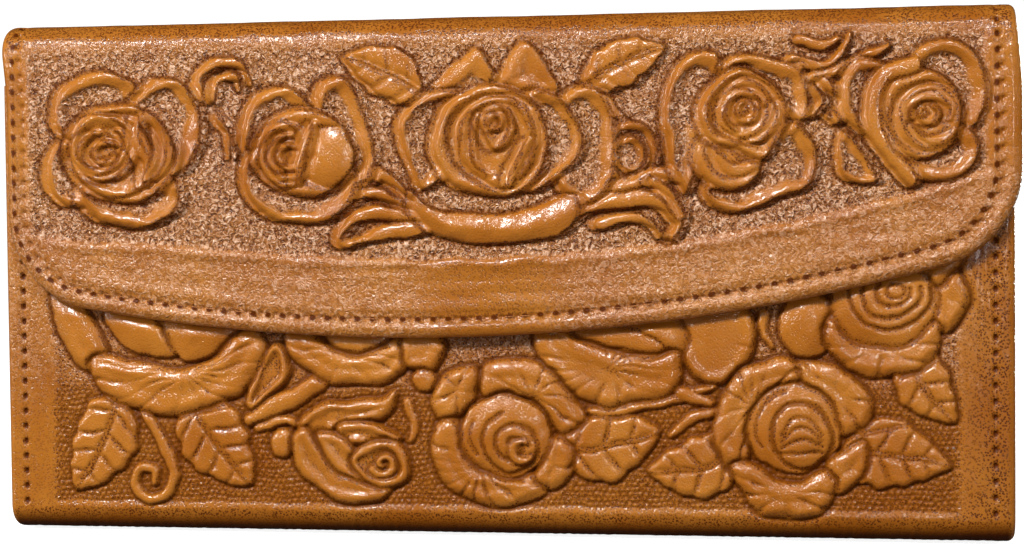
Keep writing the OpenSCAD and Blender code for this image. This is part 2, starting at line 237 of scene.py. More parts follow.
class Relief:
    """Pressed pattern of one panel: height in mm, darkness of the stain and of painted shade, and strength
    of the grit with its painted glints.
    """
    STEP = 0.2

    def __init__(self, span, fit=(1, 0, 1, 0), seed=1):
        z_low, z_high = span
        self.fit = fit
        self.x0, self.z0 = -HALF_W, z_low
        xs = np.arange(self.x0, HALF_W + self.STEP, self.STEP)
        zs = np.arange(z_low, z_high + self.STEP, self.STEP)
        self.X, self.Z = np.meshgrid(xs, zs)
        # The hand-cut shapes waver a little, so distances are measured in gently bent coordinates
        self.bent_x = self.X + self.waver(seed)
        self.bent_z = self.Z + self.waver(seed + 2)
        self.uneven = 1 + 0.16 * ripple(self.X, self.Z, 3.4, seed + 4)
        self.height = np.zeros(self.X.shape)
        self.dark = np.zeros(self.X.shape)
        self.grit_and_glint = np.zeros(self.X.shape)
        self.covered = np.zeros(self.X.shape)

    def waver(self, seed):
        return 0.3 * ripple(self.X, self.Z, 4.5, seed) + 0.12 * ripple(self.X, self.Z, 1.6, seed + 1)

    def place(self, outline):
        """Pattern layout units to panel millimetres."""
        sx, ox, sz, oz = self.fit
        return np.asarray(outline, float) * [sx, sz] + [ox, oz]

    def window(self, outline, pad=2.5):
        lo, hi = outline.min(0) - pad, outline.max(0) + pad
        rows = slice(max(0, int((lo[1] - self.z0) / self.STEP)), max(1, int((hi[1] - self.z0) / self.STEP)))
        cols = slice(max(0, int((lo[0] - self.x0) / self.STEP)), max(1, int((hi[0] - self.x0) / self.STEP)))
        return rows, cols

    def lay(self, win, d, height, groove=0.22, dark=0.0, reach=0.6):
        """Puts a shape over what's there and presses a soft groove round it."""
        a = smooth(-0.2, 0.3, d)
        ditch = bell(np.minimum(d, 0), reach) * (1 - a)
        self.height[win] = self.height[win] * (1 - a) + height * a - groove * ditch
        self.dark[win] = np.maximum(self.dark[win] * (1 - a) + dark * a, 0.55 * ditch)
        self.covered[win] = np.maximum(self.covered[win], a)

    def petal(self, outline, floor=-0.38, top=0.6, width=2.7, fall=1.0, creases=0, crease=0.3,
              lean=(0, 0), groove=0.2, foot=-0.35, soft=0.55, grow=0.3):
        """A petal with a rolled rim of the given width, which rises from foot to top and falls to floor
        inside. fall is how far past the rim's middle the floor begins, as a share of the width; creases
        is the number of slits across the rim, deeper in some places than others; soft is how gently its
        outer side starts, from 0 to 1; grow moves its whole outline outward."""
        outline = self.place(rounded(outline, True))
        win = self.window(outline, 2.5 + grow)
        x, z = self.bent_x[win], self.bent_z[win]
        d = inside_distance(x, z, outline) + grow
        half = width / 2 * self.uneven[win]
        rise = np.clip(d / half, 0, 1)
        up = (1 - soft) * np.sqrt(np.clip(1 - (1 - rise) ** 2, 0, 1)) + soft * np.sin(rise * QUARTER) ** 1.6
        down = smooth(half * (1 + 2 * fall), half, d)
        h = np.where(d < half, foot + (top - foot) * up, floor + (top - floor) * down)
        cx, cz = outline.mean(0)
        span = np.ptp(outline, axis=0) / 2 + 0.1
        h = h + (lean[0] * (x - cx) / span[0] + lean[1] * (z - cz) / span[1])
        if creases:
            angle = np.arctan2((z - cz) / span[1], (x - cx) / span[0])
            angle = angle + 0.12 * ripple(x, z, 5, 3)
            slit = np.exp(-(np.sin(creases * angle / 2 + 0.5) * span.min() / creases * 2 / 0.42) ** 2)
            here = 0.25 + 0.75 * smooth(-0.5, 0.5, ripple(x, z, 8, 9))
            h = h - crease * slit * here * smooth(0, 0.6, d) * smooth(width * 1.25, width * 0.6, d)
        self.lay(win, d, h, groove)
        self.dark[win] = np.maximum(self.dark[win], 0.3 * bell(d, 0.7))

    def leaf(self, base, tip, width, bend=0.12, veins=5, height=0.85, puff=1.3):
        """A pointed leaf with a midrib and grooved side veins between puffed lobes."""
        b, t = self.place([base])[0], self.place([tip])[0]
        along, length = (t - b) / np.hypot(*(t - b)), np.hypot(*(t - b))
        side = np.array([-along[1], along[0]])
        s = np.linspace(0, 1, 22)
        half = width / 2 * np.sin(np.pi * s ** 0.8) ** 0.75 * (1 + 0.06 * np.cos(veins * 2 * np.pi * s))
        spine = b + np.outer(s * length, along) + np.outer(bend * length * np.sin(np.pi * s), side)
        outline = np.vstack([spine + half[:, None] * side, (spine - half[:, None] * side)[::-1]])
        win = self.window(outline)
        x, z = self.bent_x[win], self.bent_z[win]
        d = inside_distance(x, z, outline)
        u = ((x - b[0]) * along[0] + (z - b[1]) * along[1]) / length
        v = (x - b[0]) * side[0] + (z - b[1]) * side[1] - bend * length * np.sin(np.pi * np.clip(u, 0, 1))
        round_edge = np.sqrt(np.clip(np.minimum(d / puff, 1), 0, 1))
        across = np.clip(np.abs(v) / (width / 2), 0, 1)
        phase = np.sin(np.pi * (veins * (u - 0.5 * np.abs(v) / length) + 0.2))
        cut = 0.85 * bell(phase, 0.36) * smooth(0.02, 0.25, across) * smooth(1.1, 0.75, across)
        rib = 0.55 * bell(v, 0.75) - 0.42 * bell(v, 0.26)
        h = height * round_edge * (1 - 0.5 * cut) - rib * smooth(-0.02, 0.06, u) * smooth(1.0, 0.85, u)
        self.lay(win, d, h, 0.3)
        self.dark[win] = np.maximum(self.dark[win], (d > 0) * (0.5 * bell(v, 0.6) + 0.3 * cut))

    def stroke(self, line, width=2.0, height=0.8, taper=0.5, groove=0.22, both=False, floor=-0.35):
        """A raised stem along a line, thinner at its end, or at both ends."""
        line = self.place(rounded(line))
        win = self.window(line, width + 1.5)
        dist, along = line_distance(self.bent_x[win], self.bent_z[win], line)
        ends = np.maximum(along, 1 - along) * 2 - 1 if both else along
        half = (width / 2 + 0.25) * (1 - 0.85 * taper * ends ** 2) * self.uneven[win]
        d = half - dist
        h = floor + (height - floor) * np.sqrt(np.clip(1 - (dist / half) ** 2, 0, 1))
        self.lay(win, d, h, groove)

    def cut(self, line, width=0.7, depth=0.4, dark=0.6):
        """A narrow pressed line."""
        line = self.place(line)
        win = self.window(line, width + 1)
        dist, _ = line_distance(self.bent_x[win], self.bent_z[win], line)
        g = np.exp(-(dist / width * 1.6) ** 2)
        self.height[win] -= depth * g
        self.dark[win] = np.maximum(self.dark[win], dark * g)

    def beads(self, mask, pitch=1.06, height=0.26, seed=4, stain_and_shade=0.45, loose=0.16):
        """Small round beads that fill the ground between the motifs."""
        rng = np.random.default_rng(seed)
        row = np.round(self.bent_z / (pitch * 0.87))
        x = self.bent_x / pitch + 0.5 * (row % 2)
        jitter = rng.uniform(-loose, loose, (2, 400, 400))
        col = np.round(x)
        where = row.astype(int) % 400, col.astype(int) % 400
        r = np.hypot(x - col - jitter[0][where],
                     (self.bent_z - row * pitch * 0.87) / pitch - jitter[1][where])
        dome = np.sqrt(np.clip(1 - (r / 0.44) ** 2, 0, 1))
        self.height += height * dome * mask
        self.dark = np.maximum(self.dark, mask * stain_and_shade * (1 - 0.8 * dome))

    def age(self, width=0.9, gain=0.9):
        """Lets the stain gather wherever the surface is lower than what's round it."""
        hollow = blur(self.height, width / self.STEP) - self.height
        slope = np.hypot(*np.gradient(self.height, self.STEP))
        self.dark = self.dark * 0.7 + gain * np.clip(hollow, -0.12, 1) + 0.42 * smooth(0.3, 1.2, slope)
        self.dark = np.clip(self.dark, 0, 1)

    def sample(self, layer, x, z):
        """The layer's value at any points, between its cells."""
        data = getattr(self, layer)
        c = np.clip((x - self.x0) / self.STEP, 0, data.shape[1] - 1.001)
        r = np.clip((z - self.z0) / self.STEP, 0, data.shape[0] - 1.001)
        ci, ri = c.astype(int), r.astype(int)
        fc, fr = c - ci, r - ri
        low = data[ri, ci] * (1 - fc) + data[ri, ci + 1] * fc
        high = data[ri + 1, ci] * (1 - fc) + data[ri + 1, ci + 1] * fc
        return low * (1 - fr) + high * fr


# ---------- the pattern on the flap ----------

def flap_field(r):
    """The lowered ground behind the flap's roses, and the plain band below it."""
    low = curve([(-102, 63), (-90, 60), (-74, 59), (-53, 57.5), (-32, 56), (-11, 55.4), (10, 56),
                 (32, 57.8), (50, 60.5), (70, 64.5), (84, 68), (96, 72)])
    x, z = (r.place(low)).T
    edge = np.interp(r.bent_x, x, z)
    left, right = r.place([(-95.5, 0), (99, 0)])[:, 0]
    top = r.place([(0, 99.6)])[0, 1]
    sides = np.minimum(r.X - left, right - r.X)
    inside = np.minimum(np.minimum(r.bent_z - edge, (top + 1.5 - r.bent_z) * 0.22), sides * 0.45)
    ground = smooth(-0.4, 0.9, inside)
    r.height -= 0.45 * ground
    r.height += 0.28 * bell(r.bent_z - edge + 1.0, 0.9) * smooth(-2, 8, sides)
    return ground


def folds(r, *rows):
    """Curled petal edges, each along part of an oval: centre, radii, angles, width and height."""
    for cx, cz, rx, rz, a0, a1, width, height in rows:
        r.stroke(arc(cx, cz, rx, rz, a0, a1), width, height, both=True, floor=height - 0.55)


def rose_a(r):
    r.petal(lobe(-87.0, 74.2, 5.4, 7.4), lean=(0, 0.05))
    r.petal(lobe(-80.3, 86.6, 10.4, 8.4, 8), top=0.65)
    r.petal(lobe(-66.5, 82.8, 8.4, 10.8, -8), top=0.65)
    r.petal(lobe(-74, 69.6, 11.4, 7.2, -4), top=0.85, width=2.9)
    r.petal(lobe(-75.4, 78.0, 12.2, 10.2, -12), 0.0, 0.85, 2.6)
    r.petal(lobe(-77.6, 77.4, 9.8, 8.6, -10), 0.1, 0.9, 2.2, foot=0.0)
    r.petal(lobe(-80.0, 79.2, 7.4, 7.0, -16), 0.3, 1.05, 2.0, foot=0.1)
    folds(r, (-80.6, 78.4, 4.6, 4.2, 95, 345, 1.5, 1.0), (-79.6, 78.2, 2.4, 2.2, 40, 300, 1.2, 1.05),
          (-78.6, 79.4, 3.4, 3.6, -20, 80, 1.1, 1.0))
    r.stroke([(-71.8, 85.2), (-72.0, 80.4), (-70.4, 76.4), (-70.8, 71.8)], 3.4, 1.3, both=True, floor=0.3)
    folds(r, (-71.0, 79.4, 4.6, 7.0, -70, 66, 2.2, 0.95))


def rose_b(r):
    r.petal([(-28.5, 92.8), (-24.4, 87), (-21.8, 77), (-24.5, 71.4), (-31, 74), (-35, 84),
             (-33.8, 91.5)], top=0.65)
    r.petal(lobe(-41.6, 81, 8.6, 10.4, 10))
    r.petal(lobe(-38, 72.4, 12.4, 9.4, -4), top=0.7, width=2.5)
    r.petal(lobe(-36.6, 77.6, 11.0, 9.0, -10), 0.5, 0.95, 3.4)
    r.petal(lobe(-32.0, 76.6, 5.8, 6.2, -24), 1.6, 1.6, 10.4, soft=0.3, foot=0.2)
    r.petal(lobe(-41.6, 77.2, 5.8, 6.8, 8), 0.4, 1.05, 1.9, foot=0.3)
    folds(r, (-41.2, 76.8, 3.6, 4.4, 80, 330, 1.4, 1.1), (-40.8, 76.8, 1.9, 2.4, 60, 300, 1.1, 1.15))
    r.stroke([(-35.2, 83.4), (-36.4, 79.6), (-38.0, 75.6), (-38.8, 71.6)], 2.6, 1.4, both=True, floor=0.4)


def rose_c(r):
    r.petal([(-10.4, 87), (-8.6, 92.4), (-4, 96.2), (-0.6, 98.4), (1.6, 95.4), (3.4, 89)], -0.15, width=3.6)
    r.petal([(2.6, 89.6), (4.4, 94.4), (8.4, 99.4), (12.6, 96), (15.4, 88)], -0.15, width=3.6)
    r.petal([(-17.6, 84.3), (-9.5, 89.8), (-2, 88), (-5, 76), (-12.5, 69.6), (-16.2, 76.6)], width=2.4)
    r.petal(lobe(20.2, 78.4, 7.0, 12.2), top=0.7)
    r.petal([(8, 88), (14.6, 88.4), (19.4, 83), (20, 77.4), (14.4, 71.6), (8, 70)], top=0.8, width=2.2)
    r.petal([(-11, 79), (-8, 87), (-1.4, 90.4), (6.2, 90), (12.4, 84.4), (13.6, 77.6), (10.4, 71),
             (5, 68.4), (-3, 69), (-8.6, 72.4)], 0.1, 0.9, 2.8)
    r.petal([(-6.2, 79.6), (-3.6, 86.4), (2, 88.6), (8, 86.8), (10.6, 81.4), (9.4, 74.4), (4.4, 69.8),
             (-2.4, 72.8)], 0.35, 1.1, 2.4, foot=0.1)
    folds(r, (4.2, 79.4, 5.0, 7.6, -80, 60, 1.5, 1.05), (1.4, 79.4, 4.6, 7.0, 130, 262, 1.5, 1.0))
    r.petal([(-1.2, 83.2), (1.2, 86.6), (4.6, 85.8), (5.8, 82), (3.6, 78.2),
             (1.2, 77.8)], 0.5, 1.2, 1.5, foot=0.4)
    r.petal(lobe(1.6, 83.2, 1.7, 2.0), 0.3, 1.25, 1.2, foot=0.6)
    r.stroke([(4.4, 70.6), (5.6, 74.4), (8.4, 79.6)], 1.6, 1.3, both=True, floor=0.4)
    r.petal([(-14.4, 69.5), (-11, 66.6), (-5, 65.2), (3, 64.8), (10, 65.8), (15.5, 68.4), (19, 68.2),
             (19.6, 64.4), (16, 61), (9, 59.3), (2, 58.8), (-6, 59.4), (-12, 61.8),
             (-15, 65.6)], 1.3, 1.3, 7.6, soft=0.3)


def rose_d(r):
    r.petal([(35.6, 84), (37, 91), (41.4, 96.2), (47, 95.8), (48.4, 90), (45, 84), (42.6, 75),
             (40.6, 68.4), (37.4, 74)], top=0.65, width=2.5)
    r.petal([(47.4, 91), (50, 95.4), (57, 95.2), (63.4, 91.6), (64.6, 86), (62, 82), (57, 86)], width=2.5)
    r.petal([(60, 82), (63.6, 81), (66.4, 76), (64.4, 69.6), (58, 67.4), (50, 64.4), (44.6, 66.6),
             (43.8, 70), (50, 74)], top=0.7, width=2.5)
    r.petal(lobe(48.8, 75.6, 7.0, 6.6, -20), 0.35, 0.95, 3.2)
    folds(r, (50.4, 78.6, 5.0, 5.6, 195, 320, 2.2, 1.0))
    r.petal([(42.4, 83), (44.4, 89.4), (50, 92.8), (56, 91.6), (60, 86.8), (59.6, 81), (55.6, 74.8),
             (50, 77), (45.6, 78)], 0.15, 1.05, 2.7)
    r.petal(lobe(51.8, 85, 6.0, 5.8, 10), 0.7, 0.95, 2.2, foot=0.2)
    folds(r, (51.4, 84.4, 4.0, 3.6, 20, 250, 1.4, 1.15), (51.8, 84.6, 2.0, 1.8, 120, 400, 1.1, 1.2),
          (52.6, 84.2, 5.4, 5.2, -95, 20, 1.3, 1.1))


def rose_e(r):
    r.petal(lobe(90, 87.6, 8.4, 10.6, -10), top=0.6, width=2.6)
    r.petal(lobe(76.6, 86.4, 6.2, 8.4, 18), top=0.6, width=2.6)
    r.petal(lobe(89.4, 76.4, 7.6, 6.2, 6), top=0.75, width=2.8)
    r.petal(lobe(85.4, 83.4, 8.8, 8.8), 0.4, 0.95, 2.6)
    r.stroke([(85, 93.2), (79, 91.4), (76.6, 86), (77.4, 79.6), (81.4, 74),
              (84, 70.8)], 3.8, 1.05, 0.3, both=True)
    r.petal(lobe(87.2, 82.8, 6.4, 6.6, -10), 0.6, 1.1, 2.6, foot=0.2)
    folds(r, (87.2, 83.6, 3.8, 3.4, -20, 200, 1.3, 1.2), (86.6, 83.4, 1.7, 1.6, 150, 420, 1.1, 1.25),
          (88, 82.4, 4.2, 4.2, 200, 330, 1.4, 1.2))


def flap_sprigs(r):
    """Stems, scrolls and leaves between the flap's roses."""
    r.leaf((-11.5, 88.6), (-29, 97.2), 10.5, -0.06, 4, 0.55)
    r.leaf((20, 90), (37.6, 97.8), 9.5, 0.05, 4, 0.55)
    r.leaf((22, 88.6), (29.4, 83), 5.4, -0.1, 2, 0.55)
    r.stroke([(-58, 89), (-58.6, 93.6), (-54.6, 96.4), (-49.6, 95.6), (-47.4, 92)], 2.3, 0.55)
    r.stroke([(-55.8, 88.6), (-54.6, 92.6), (-51, 93.4), (-49.6, 90.6)], 2.0, 0.45)
    r.stroke([(-59, 87.6), (-60.6, 83.6), (-58.4, 79.6)], 2.0, 0.35)
    r.stroke([(-55.6, 85), (-52.6, 81.4), (-52.4, 76.4)], 1.8, 0.3)
    r.stroke([(-33, 64.8), (-27.6, 68), (-22.6, 73.2), (-18, 71), (-11.6, 64.4)], 2.9, 0.75)
    r.stroke([(-27, 68.6), (-22.8, 69.4), (-17.6, 67.6), (-12.6, 62.8)], 2.2, 0.6)
    r.stroke([(-13, 63.4), (-22, 65.4), (-28.4, 63), (-29.6, 59.2), (-25, 59.6)], 2.9, 0.7)
    r.stroke([(-12.6, 61.4), (-18.6, 62), (-24.6, 59.6)], 3.1, 0.6, both=True)
    r.petal([(26.4, 71.6), (33, 71.2), (35, 76.5), (33, 82), (27, 82)], width=1.7)
    r.petal(lobe(29.6, 76.4, 3.0, 3.6), -0.2, 0.5, width=1.4)
    r.stroke([(23.6, 69), (29, 69.8), (34, 71.8), (41, 72.6)], 3.4, 0.7, 0.2)
    r.stroke([(19, 65.4), (28, 67.6), (34.5, 66.8), (38.8, 63), (37.4, 59.8)], 3.0, 0.75, 0.35)
    r.stroke([(33.6, 70.6), (37.6, 68), (40, 64)], 2.3, 0.6)
    r.stroke([(22.6, 62.2), (28, 64), (33, 63.2), (35.4, 60.4)], 2.3, 0.55)
    r.stroke([(61, 94), (66, 93.2), (70, 95), (72.5, 99)], 2.6, 0.6)
    r.stroke([(63, 98.4), (67, 97.4), (70.4, 98.6)], 2.0, 0.4)
    r.stroke([(62.6, 90), (68, 91.6), (74, 94), (80, 97)], 2.3, 0.6)
    r.stroke([(62.8, 92.6), (61.8, 88), (63.6, 84), (66.4, 86), (65.4, 89)], 2.2, 0.6)
    r.stroke([(67.4, 90), (70.6, 87), (70, 82.4), (67.2, 83.6)], 2.1, 0.55)
    r.petal(curve([(70.8, 80.6), (70.2, 71.8), (78, 70.8)], True, 5), -0.3, 0.55, 1.7)


def flap_relief():
    r = Relief(FLAP_SPAN, (0.988, -1.3, 0.98, 1.1))
    ground = flap_field(r)
    flap_sprigs(r)
    for rose in (rose_a, rose_b, rose_c, rose_d, rose_e):
        rose(r)
    low = ground * smooth(0.15, -0.3, r.height)
    r.age()
    r.dark = np.maximum(r.dark, 0.08 * low)
    r.beads(low, 0.72, 0.15, 5, 0.3)
    rolled_edge(r, flap_margin(r.X, r.Z) + 0 * r.Z, r.Z < BODY_H - TOP_R - 1)
    seam(r, flap_seam_points())
    plain = 1 - ground
    # Painted shade: the plain leather is made darker near the top fold, to take back the light it catches
    # facing up, and a little in the middle of the band, where no sheen falls; the grit's painted glints on
    # the band fade out there too
    middle = bell(r.X - 0.5, 15, 4)
    near_fold = smooth(95, 101, r.Z) * smooth(113, 105, r.Z)
    r.dark = np.maximum(r.dark, plain * (0.1 + 0.08 * middle + 0.22 * near_fold))
    r.grit_and_glint = low + plain * (0.42 - 0.42 * middle) * smooth(76, 70, r.Z)
    wrinkles = 0.07 * ripple(r.X * 0.16, r.Z, 1.7, 11) + 0.04 * ripple(r.X * 0.25, r.Z, 0.9, 12)
    r.height += plain * wrinkles
    return r


def rolled_edge(r, margin, where):
    """The turned edge: a low roll between the seam and the edge, and a gentle swell behind the seam."""
    roll = bell(margin - 1.9, 1.3)
    swell = 0.18 * bell(margin - 6.0, 1.6)
    r.height += (0.22 * roll + swell) * where


# ---------- the pattern on the front cover ----------

def front_field(r):
    left, right = r.place([(-91, 0), (95, 0)])[:, 0]
    low = r.place([(0, 4.6)])[0, 1]
    top = flap_edge(np.clip(r.X, -96, 96)) + 9
    sides = np.minimum(r.bent_x - left, right - r.bent_x)
    inside = np.minimum(np.minimum(r.bent_z - low, top - r.Z), sides * 0.5)
    ground = smooth(-0.5, 0.9, inside)
    r.height -= 0.4 * ground
    sides = np.minimum(r.X - left, right - r.X)
    r.height += 0.15 * bell(r.bent_z - low + 0.9, 0.7) * smooth(-2, 6, sides)
    return ground


def puffy(r, outline, creases=0, width=4.4, floor=0.9, top=1.2, crease=0.5, **more):
    """A plump petal, with slits across its rim."""
    r.petal(outline, floor, top, width, 0.5, creases, crease, groove=0.4, soft=0.3, grow=1.0, **more)


def dome(r, outline, top=1.1):
    """A petal as round as a ball."""
    outline = rounded(outline, True)
    width = 0.95 * np.ptp(outline, axis=0).min()
    r.petal(outline, top, top, width, 1.0, groove=0.4, foot=-0.2, soft=0.2, grow=0.5)


def blossoms(r):
    """The three half-open blossoms along the flap's edge."""
    puffy(r, [(-90.4, 47.6), (-87.4, 50), (-84, 45.4), (-80.6, 38.4), (-80.2, 33.6), (-84.2, 34),
              (-88.6, 40)], width=5.4, floor=0.9)
    dome(r, [(-79, 44), (-76, 49.6), (-67, 51), (-64, 44), (-63.4, 36.6), (-70, 36), (-76, 38.6)], 1.5)
    dome(r, [(-69.6, 50), (-56, 51), (-49, 46), (-51, 40.6), (-57, 36), (-62.4, 35.2), (-66.6, 42)], 1.6)
    puffy(r, [(-81.4, 34.8), (-75, 34.4), (-67, 32.4), (-60, 32.6), (-54.6, 35.6), (-50.4, 39.4),
              (-47, 40.4), (-45.8, 36.4), (-48.2, 31.6), (-51.4, 27.8), (-57.4, 25.8), (-63, 24),
              (-70, 24.4), (-76, 26.6), (-80.8, 30)], 15, 5.0, crease=0.36)
    dome(r, lobe(-25.6, 42.4, 7.4, 6.6), 1.4)
    puffy(r, [(-39.6, 40.6), (-36.4, 41.6), (-33.6, 38), (-28, 35.6), (-21.6, 36), (-17.6, 38.8),
              (-15, 38.4), (-15.6, 34.2), (-19, 31.4), (-25, 30.4), (-31, 31), (-36.4, 33.8),
              (-39.4, 37)], 11, 4.2, crease=0.3)
    puffy(r, lobe(-12, 37.4, 3.8, 4.2, 0, 5, 0.05), 3, 3.2)
    dome(r, lobe(-11.8, 31, 2.0, 2.0), 0.8)
    puffy(r, [(39.6, 42), (44, 46), (52, 46), (54.6, 41), (53, 35), (47.6, 31.2),
              (42.6, 33.4)], 7, 3.4, crease=0.34)
    dome(r, [(17, 42), (24, 46), (34, 46), (41, 42), (40.6, 36), (35, 34), (28, 36.8), (21, 38.4)], 1.4)
    r.stroke([(19.6, 42.6), (26, 40.4), (33, 38.6), (38.6, 34)], 4.2, 1.15, 0.4, floor=0.6)
    puffy(r, [(11.6, 41.6), (15, 43), (19, 39.4), (26, 36.4), (31, 35.4), (35.4, 35.6), (39.4, 36),
              (39.8, 31.6), (36.4, 28), (31.4, 27.6), (26.6, 26), (21, 28), (16, 31.4),
              (12.6, 36)], 15, 4.8, crease=0.42)
    dome(r, lobe(65.6, 42.4, 5.6, 6.4), 1.4)


def rose_f(r):
    puffy(r, [(-9.6, 26.5), (-8.1, 30.4), (-4, 33), (-1, 32.4), (-1.6, 29.5), (-2.8, 25.9),
              (-7.5, 23)], 5, 4.6)
    puffy(r, [(-9.9, 17.7), (-8.7, 21.2), (-5.8, 22.1), (-4, 20), (-3.4, 15.9), (-1.6, 12.3), (2.5, 11.2),
              (7.8, 10.6), (12, 11.2), (12.6, 8.8), (10.2, 7), (4.9, 5.6), (-0.4, 6.4), (-5.8, 8.8),
              (-8.7, 12.3)], 15, 4.8)
    puffy(r, [(13.2, 17.7), (16.1, 18.3), (18.5, 15.9), (17.3, 11.8), (14.3, 9.4), (11.4, 10.6),
              (12.6, 14.1)], 4, 4.6)
    puffy(r, [(0.8, 31.3), (2.5, 33.9), (7.8, 34.5), (12.6, 33), (16.1, 29.5), (20.2, 24.2), (19.8, 22.2),
              (16.7, 20.6), (14.3, 23.6), (11.4, 27.7), (6.7, 28.9), (1.3, 28.3)], 9, 5.0)
    dome(r, lobe(4.9, 19.4, 8.8, 8.2), 1.7)
    r.cut(spiral(6.6, 17.8, 7.0, 0.9, 110, 2.1, 60), 0.8, 0.45, 0.6)
    r.cut(arc(3.4, 19.4, 5.6, 6.4, 150, 215), 0.7, 0.3, 0.5)
    folds(r, (8.6, 16.4, 2.0, 2.0, 60, 330, 1.3, 1.75))


def rose_g(r):
    puffy(r, [(70.2, 14.7), (73.7, 17.4), (76.4, 18.1), (76.4, 14), (73, 9.8), (70.2, 9.8)], 3, 4.2)
    puffy(r, [(63.3, 34), (68.1, 34), (73.7, 31.2), (77.1, 27.1), (76.4, 22.9), (73, 20.9), (70.9, 22.2),
              (68.1, 27.8), (64.7, 30.5)], 8, 4.6, crease=0.5)
    puffy(r, [(47.5, 21.6), (48.8, 27.1), (52.3, 31.9), (55.7, 34), (59.2, 35), (62.6, 34), (62.6, 30.5),
              (59.9, 29.1), (56.4, 27.1), (53.7, 22.2), (53, 16), (50.9, 13.3), (48.2, 16.7)], 11, 4.8)
    puffy(r, [(50.9, 13.3), (54.4, 14), (58.5, 10.5), (64, 9.8), (68.1, 11.9), (70.2, 10.5), (68.8, 7.1),
              (66.1, 4.3), (60.6, 4), (56.4, 5), (53, 9.2)], 9, 4.6)
    dome(r, lobe(62.6, 21.4, 8.8, 8.6), 1.7)
    r.cut(ring(64.2, 20.0, 6.0, 6.8, 14), 0.8, 0.5, 0.65)
    for k in range(4):
        r.cut(arc(64.2, 16.6 - 0.3 * k, 4.6, 7.4 - 2.1 * k, 30, 150), 0.7, 0.35, 0.5)
    r.cut(arc(62.4, 21.6, 7.2, 7.2, 100, 215), 0.6, 0.3, 0.5)


def rose_h(r):
    puffy(r, lobe(91.0, 47.4, 4.8, 5.6, 0, 5, 0.05), 5, 4.4)
    puffy(r, lobe(88.6, 56, 5.5, 5.4, 0, 5, 0.05), 5, 4.4)
    puffy(r, lobe(74, 54, 6, 5.5, 0, 5, 0.05), 5, 4.4)
    puffy(r, [(69.4, 42.6), (72, 44), (78, 41.6), (84, 41.6), (89.6, 42.6), (90, 37), (85.6, 33.6),
              (79.6, 32.6), (74, 34), (69.8, 38)], 9, 4.6, crease=0.45)
    dome(r, lobe(80.2, 46.6, 10, 8.6, 6), 1.6)
    for k in range(3):
        r.cut(arc(81.4 + 0.3 * k, 48.4 + 0.2 * k, 8 - 2.4 * k, 7 - 2.0 * k, 170 - 12 * k, 372),
              0.75, 0.45, 0.6)
    r.cut(ring(82.4, 49, 1.7, 1.6), 0.6, 0.4, 0.6)


def rosebud(r):
    """The half-open bud low on the left, with one petal folded over it."""
    puffy(r, [(-37.8, 18), (-36.6, 22.6), (-32, 25.4), (-26, 26), (-20.6, 26.4), (-18, 28), (-20, 24),
              (-25, 22.4), (-30, 20.4), (-33.6, 16.6)], 0, 3.2, 0.6)
    puffy(r, [(-38.8, 18.4), (-36.4, 20), (-33.6, 16), (-29, 12.4), (-24, 9.6), (-19, 9.4), (-22, 6.4),
              (-28, 5.8), (-34, 8.8), (-37.6, 12.6)], 0, 3.4, 0.7)
    puffy(r, [(-29, 21), (-23, 21.4), (-17.4, 18.6), (-20, 16.8), (-25, 17.6), (-28.6, 18)], 0, 2.8, 0.6)
    puffy(r, [(-33.4, 19), (-30, 19), (-26, 15.6), (-21.6, 11.6), (-24.6, 10.4), (-30.6, 13)], 0, 2.8, 0.7)
    puffy(r, [(-26.4, 14.4), (-22, 17.4), (-17.4, 17), (-15.4, 13.6), (-17, 9.8),
              (-22.4, 9.6)], 0, 2.6, 0.2, 1.1)
    r.stroke(spiral(-20.2, 13.4, 2.6, 0.7, 200, 1.1), 1.3, 1.05, floor=0.3)


def front_sprigs(r):
    """Leaves, stems and small scrolls between the front cover's flowers."""
    r.leaf((-76.4, 28), (-86.4, 6.8), 13.6, 0.06, 5, 1.05)
    r.leaf((-61.6, 27.4), (-47.8, 8.6), 14.6, -0.05, 5, 1.05)
    r.leaf((14.6, 16.6), (36.6, 21), 14, -0.06, 4, 1.05)
    r.leaf((53, 17.6), (33.4, 12.6), 12.4, 0.1, 4, 1.05)
    r.leaf((70.6, 15.6), (93.4, 14.2), 13, 0.06, 5, 1.05)
    r.leaf((84.6, 38.4), (94, 22.6), 10.6, -0.08, 4, 1.0)
    r.stroke([(-71.6, 24.6), (-67.6, 18), (-64.8, 11.6), (-66.4, 6.8), (-70.4, 5.6), (-73.4, 8.6),
              (-72, 12), (-68.8, 11.6), (-69, 9)], 2.0, 0.8, 0.25)
    puffy(r, [(-48, 25.6), (-46.8, 32), (-42.6, 37.4), (-40.6, 33.4), (-43.4, 28.6)], 0, 2.4, 0.1, 1.0)
    r.stroke([(-48.4, 22.4), (-40, 26.6), (-31, 32.4)], 4.0, 1.0, 0.3, both=True)
    r.stroke([(-46.6, 20.6), (-41, 22.4), (-37.6, 21)], 1.8, 0.6)
    dome(r, lobe(-41.6, 17.6, 2.2, 3.0), 0.9)
    r.stroke([(-15, 26), (-14, 22), (-14.6, 18)], 1.8, 0.4)
    r.stroke([(22, 24.6), (30, 25.4), (40, 27.6), (47, 30)], 2.2, 0.75, both=True)
    r.stroke([(38, 30), (42, 28), (46, 26.4)], 2.2, 0.7, both=True)
    r.stroke([(38.6, 20), (43, 23.4), (48, 25)], 2.0, 0.6, both=True)
    r.stroke([(57, 44.6), (56.4, 41), (58.4, 38)], 1.6, 0.4)
    r.stroke([(75, 20.6), (79, 22.4), (84, 22.6)], 1.8, 0.5, both=True)


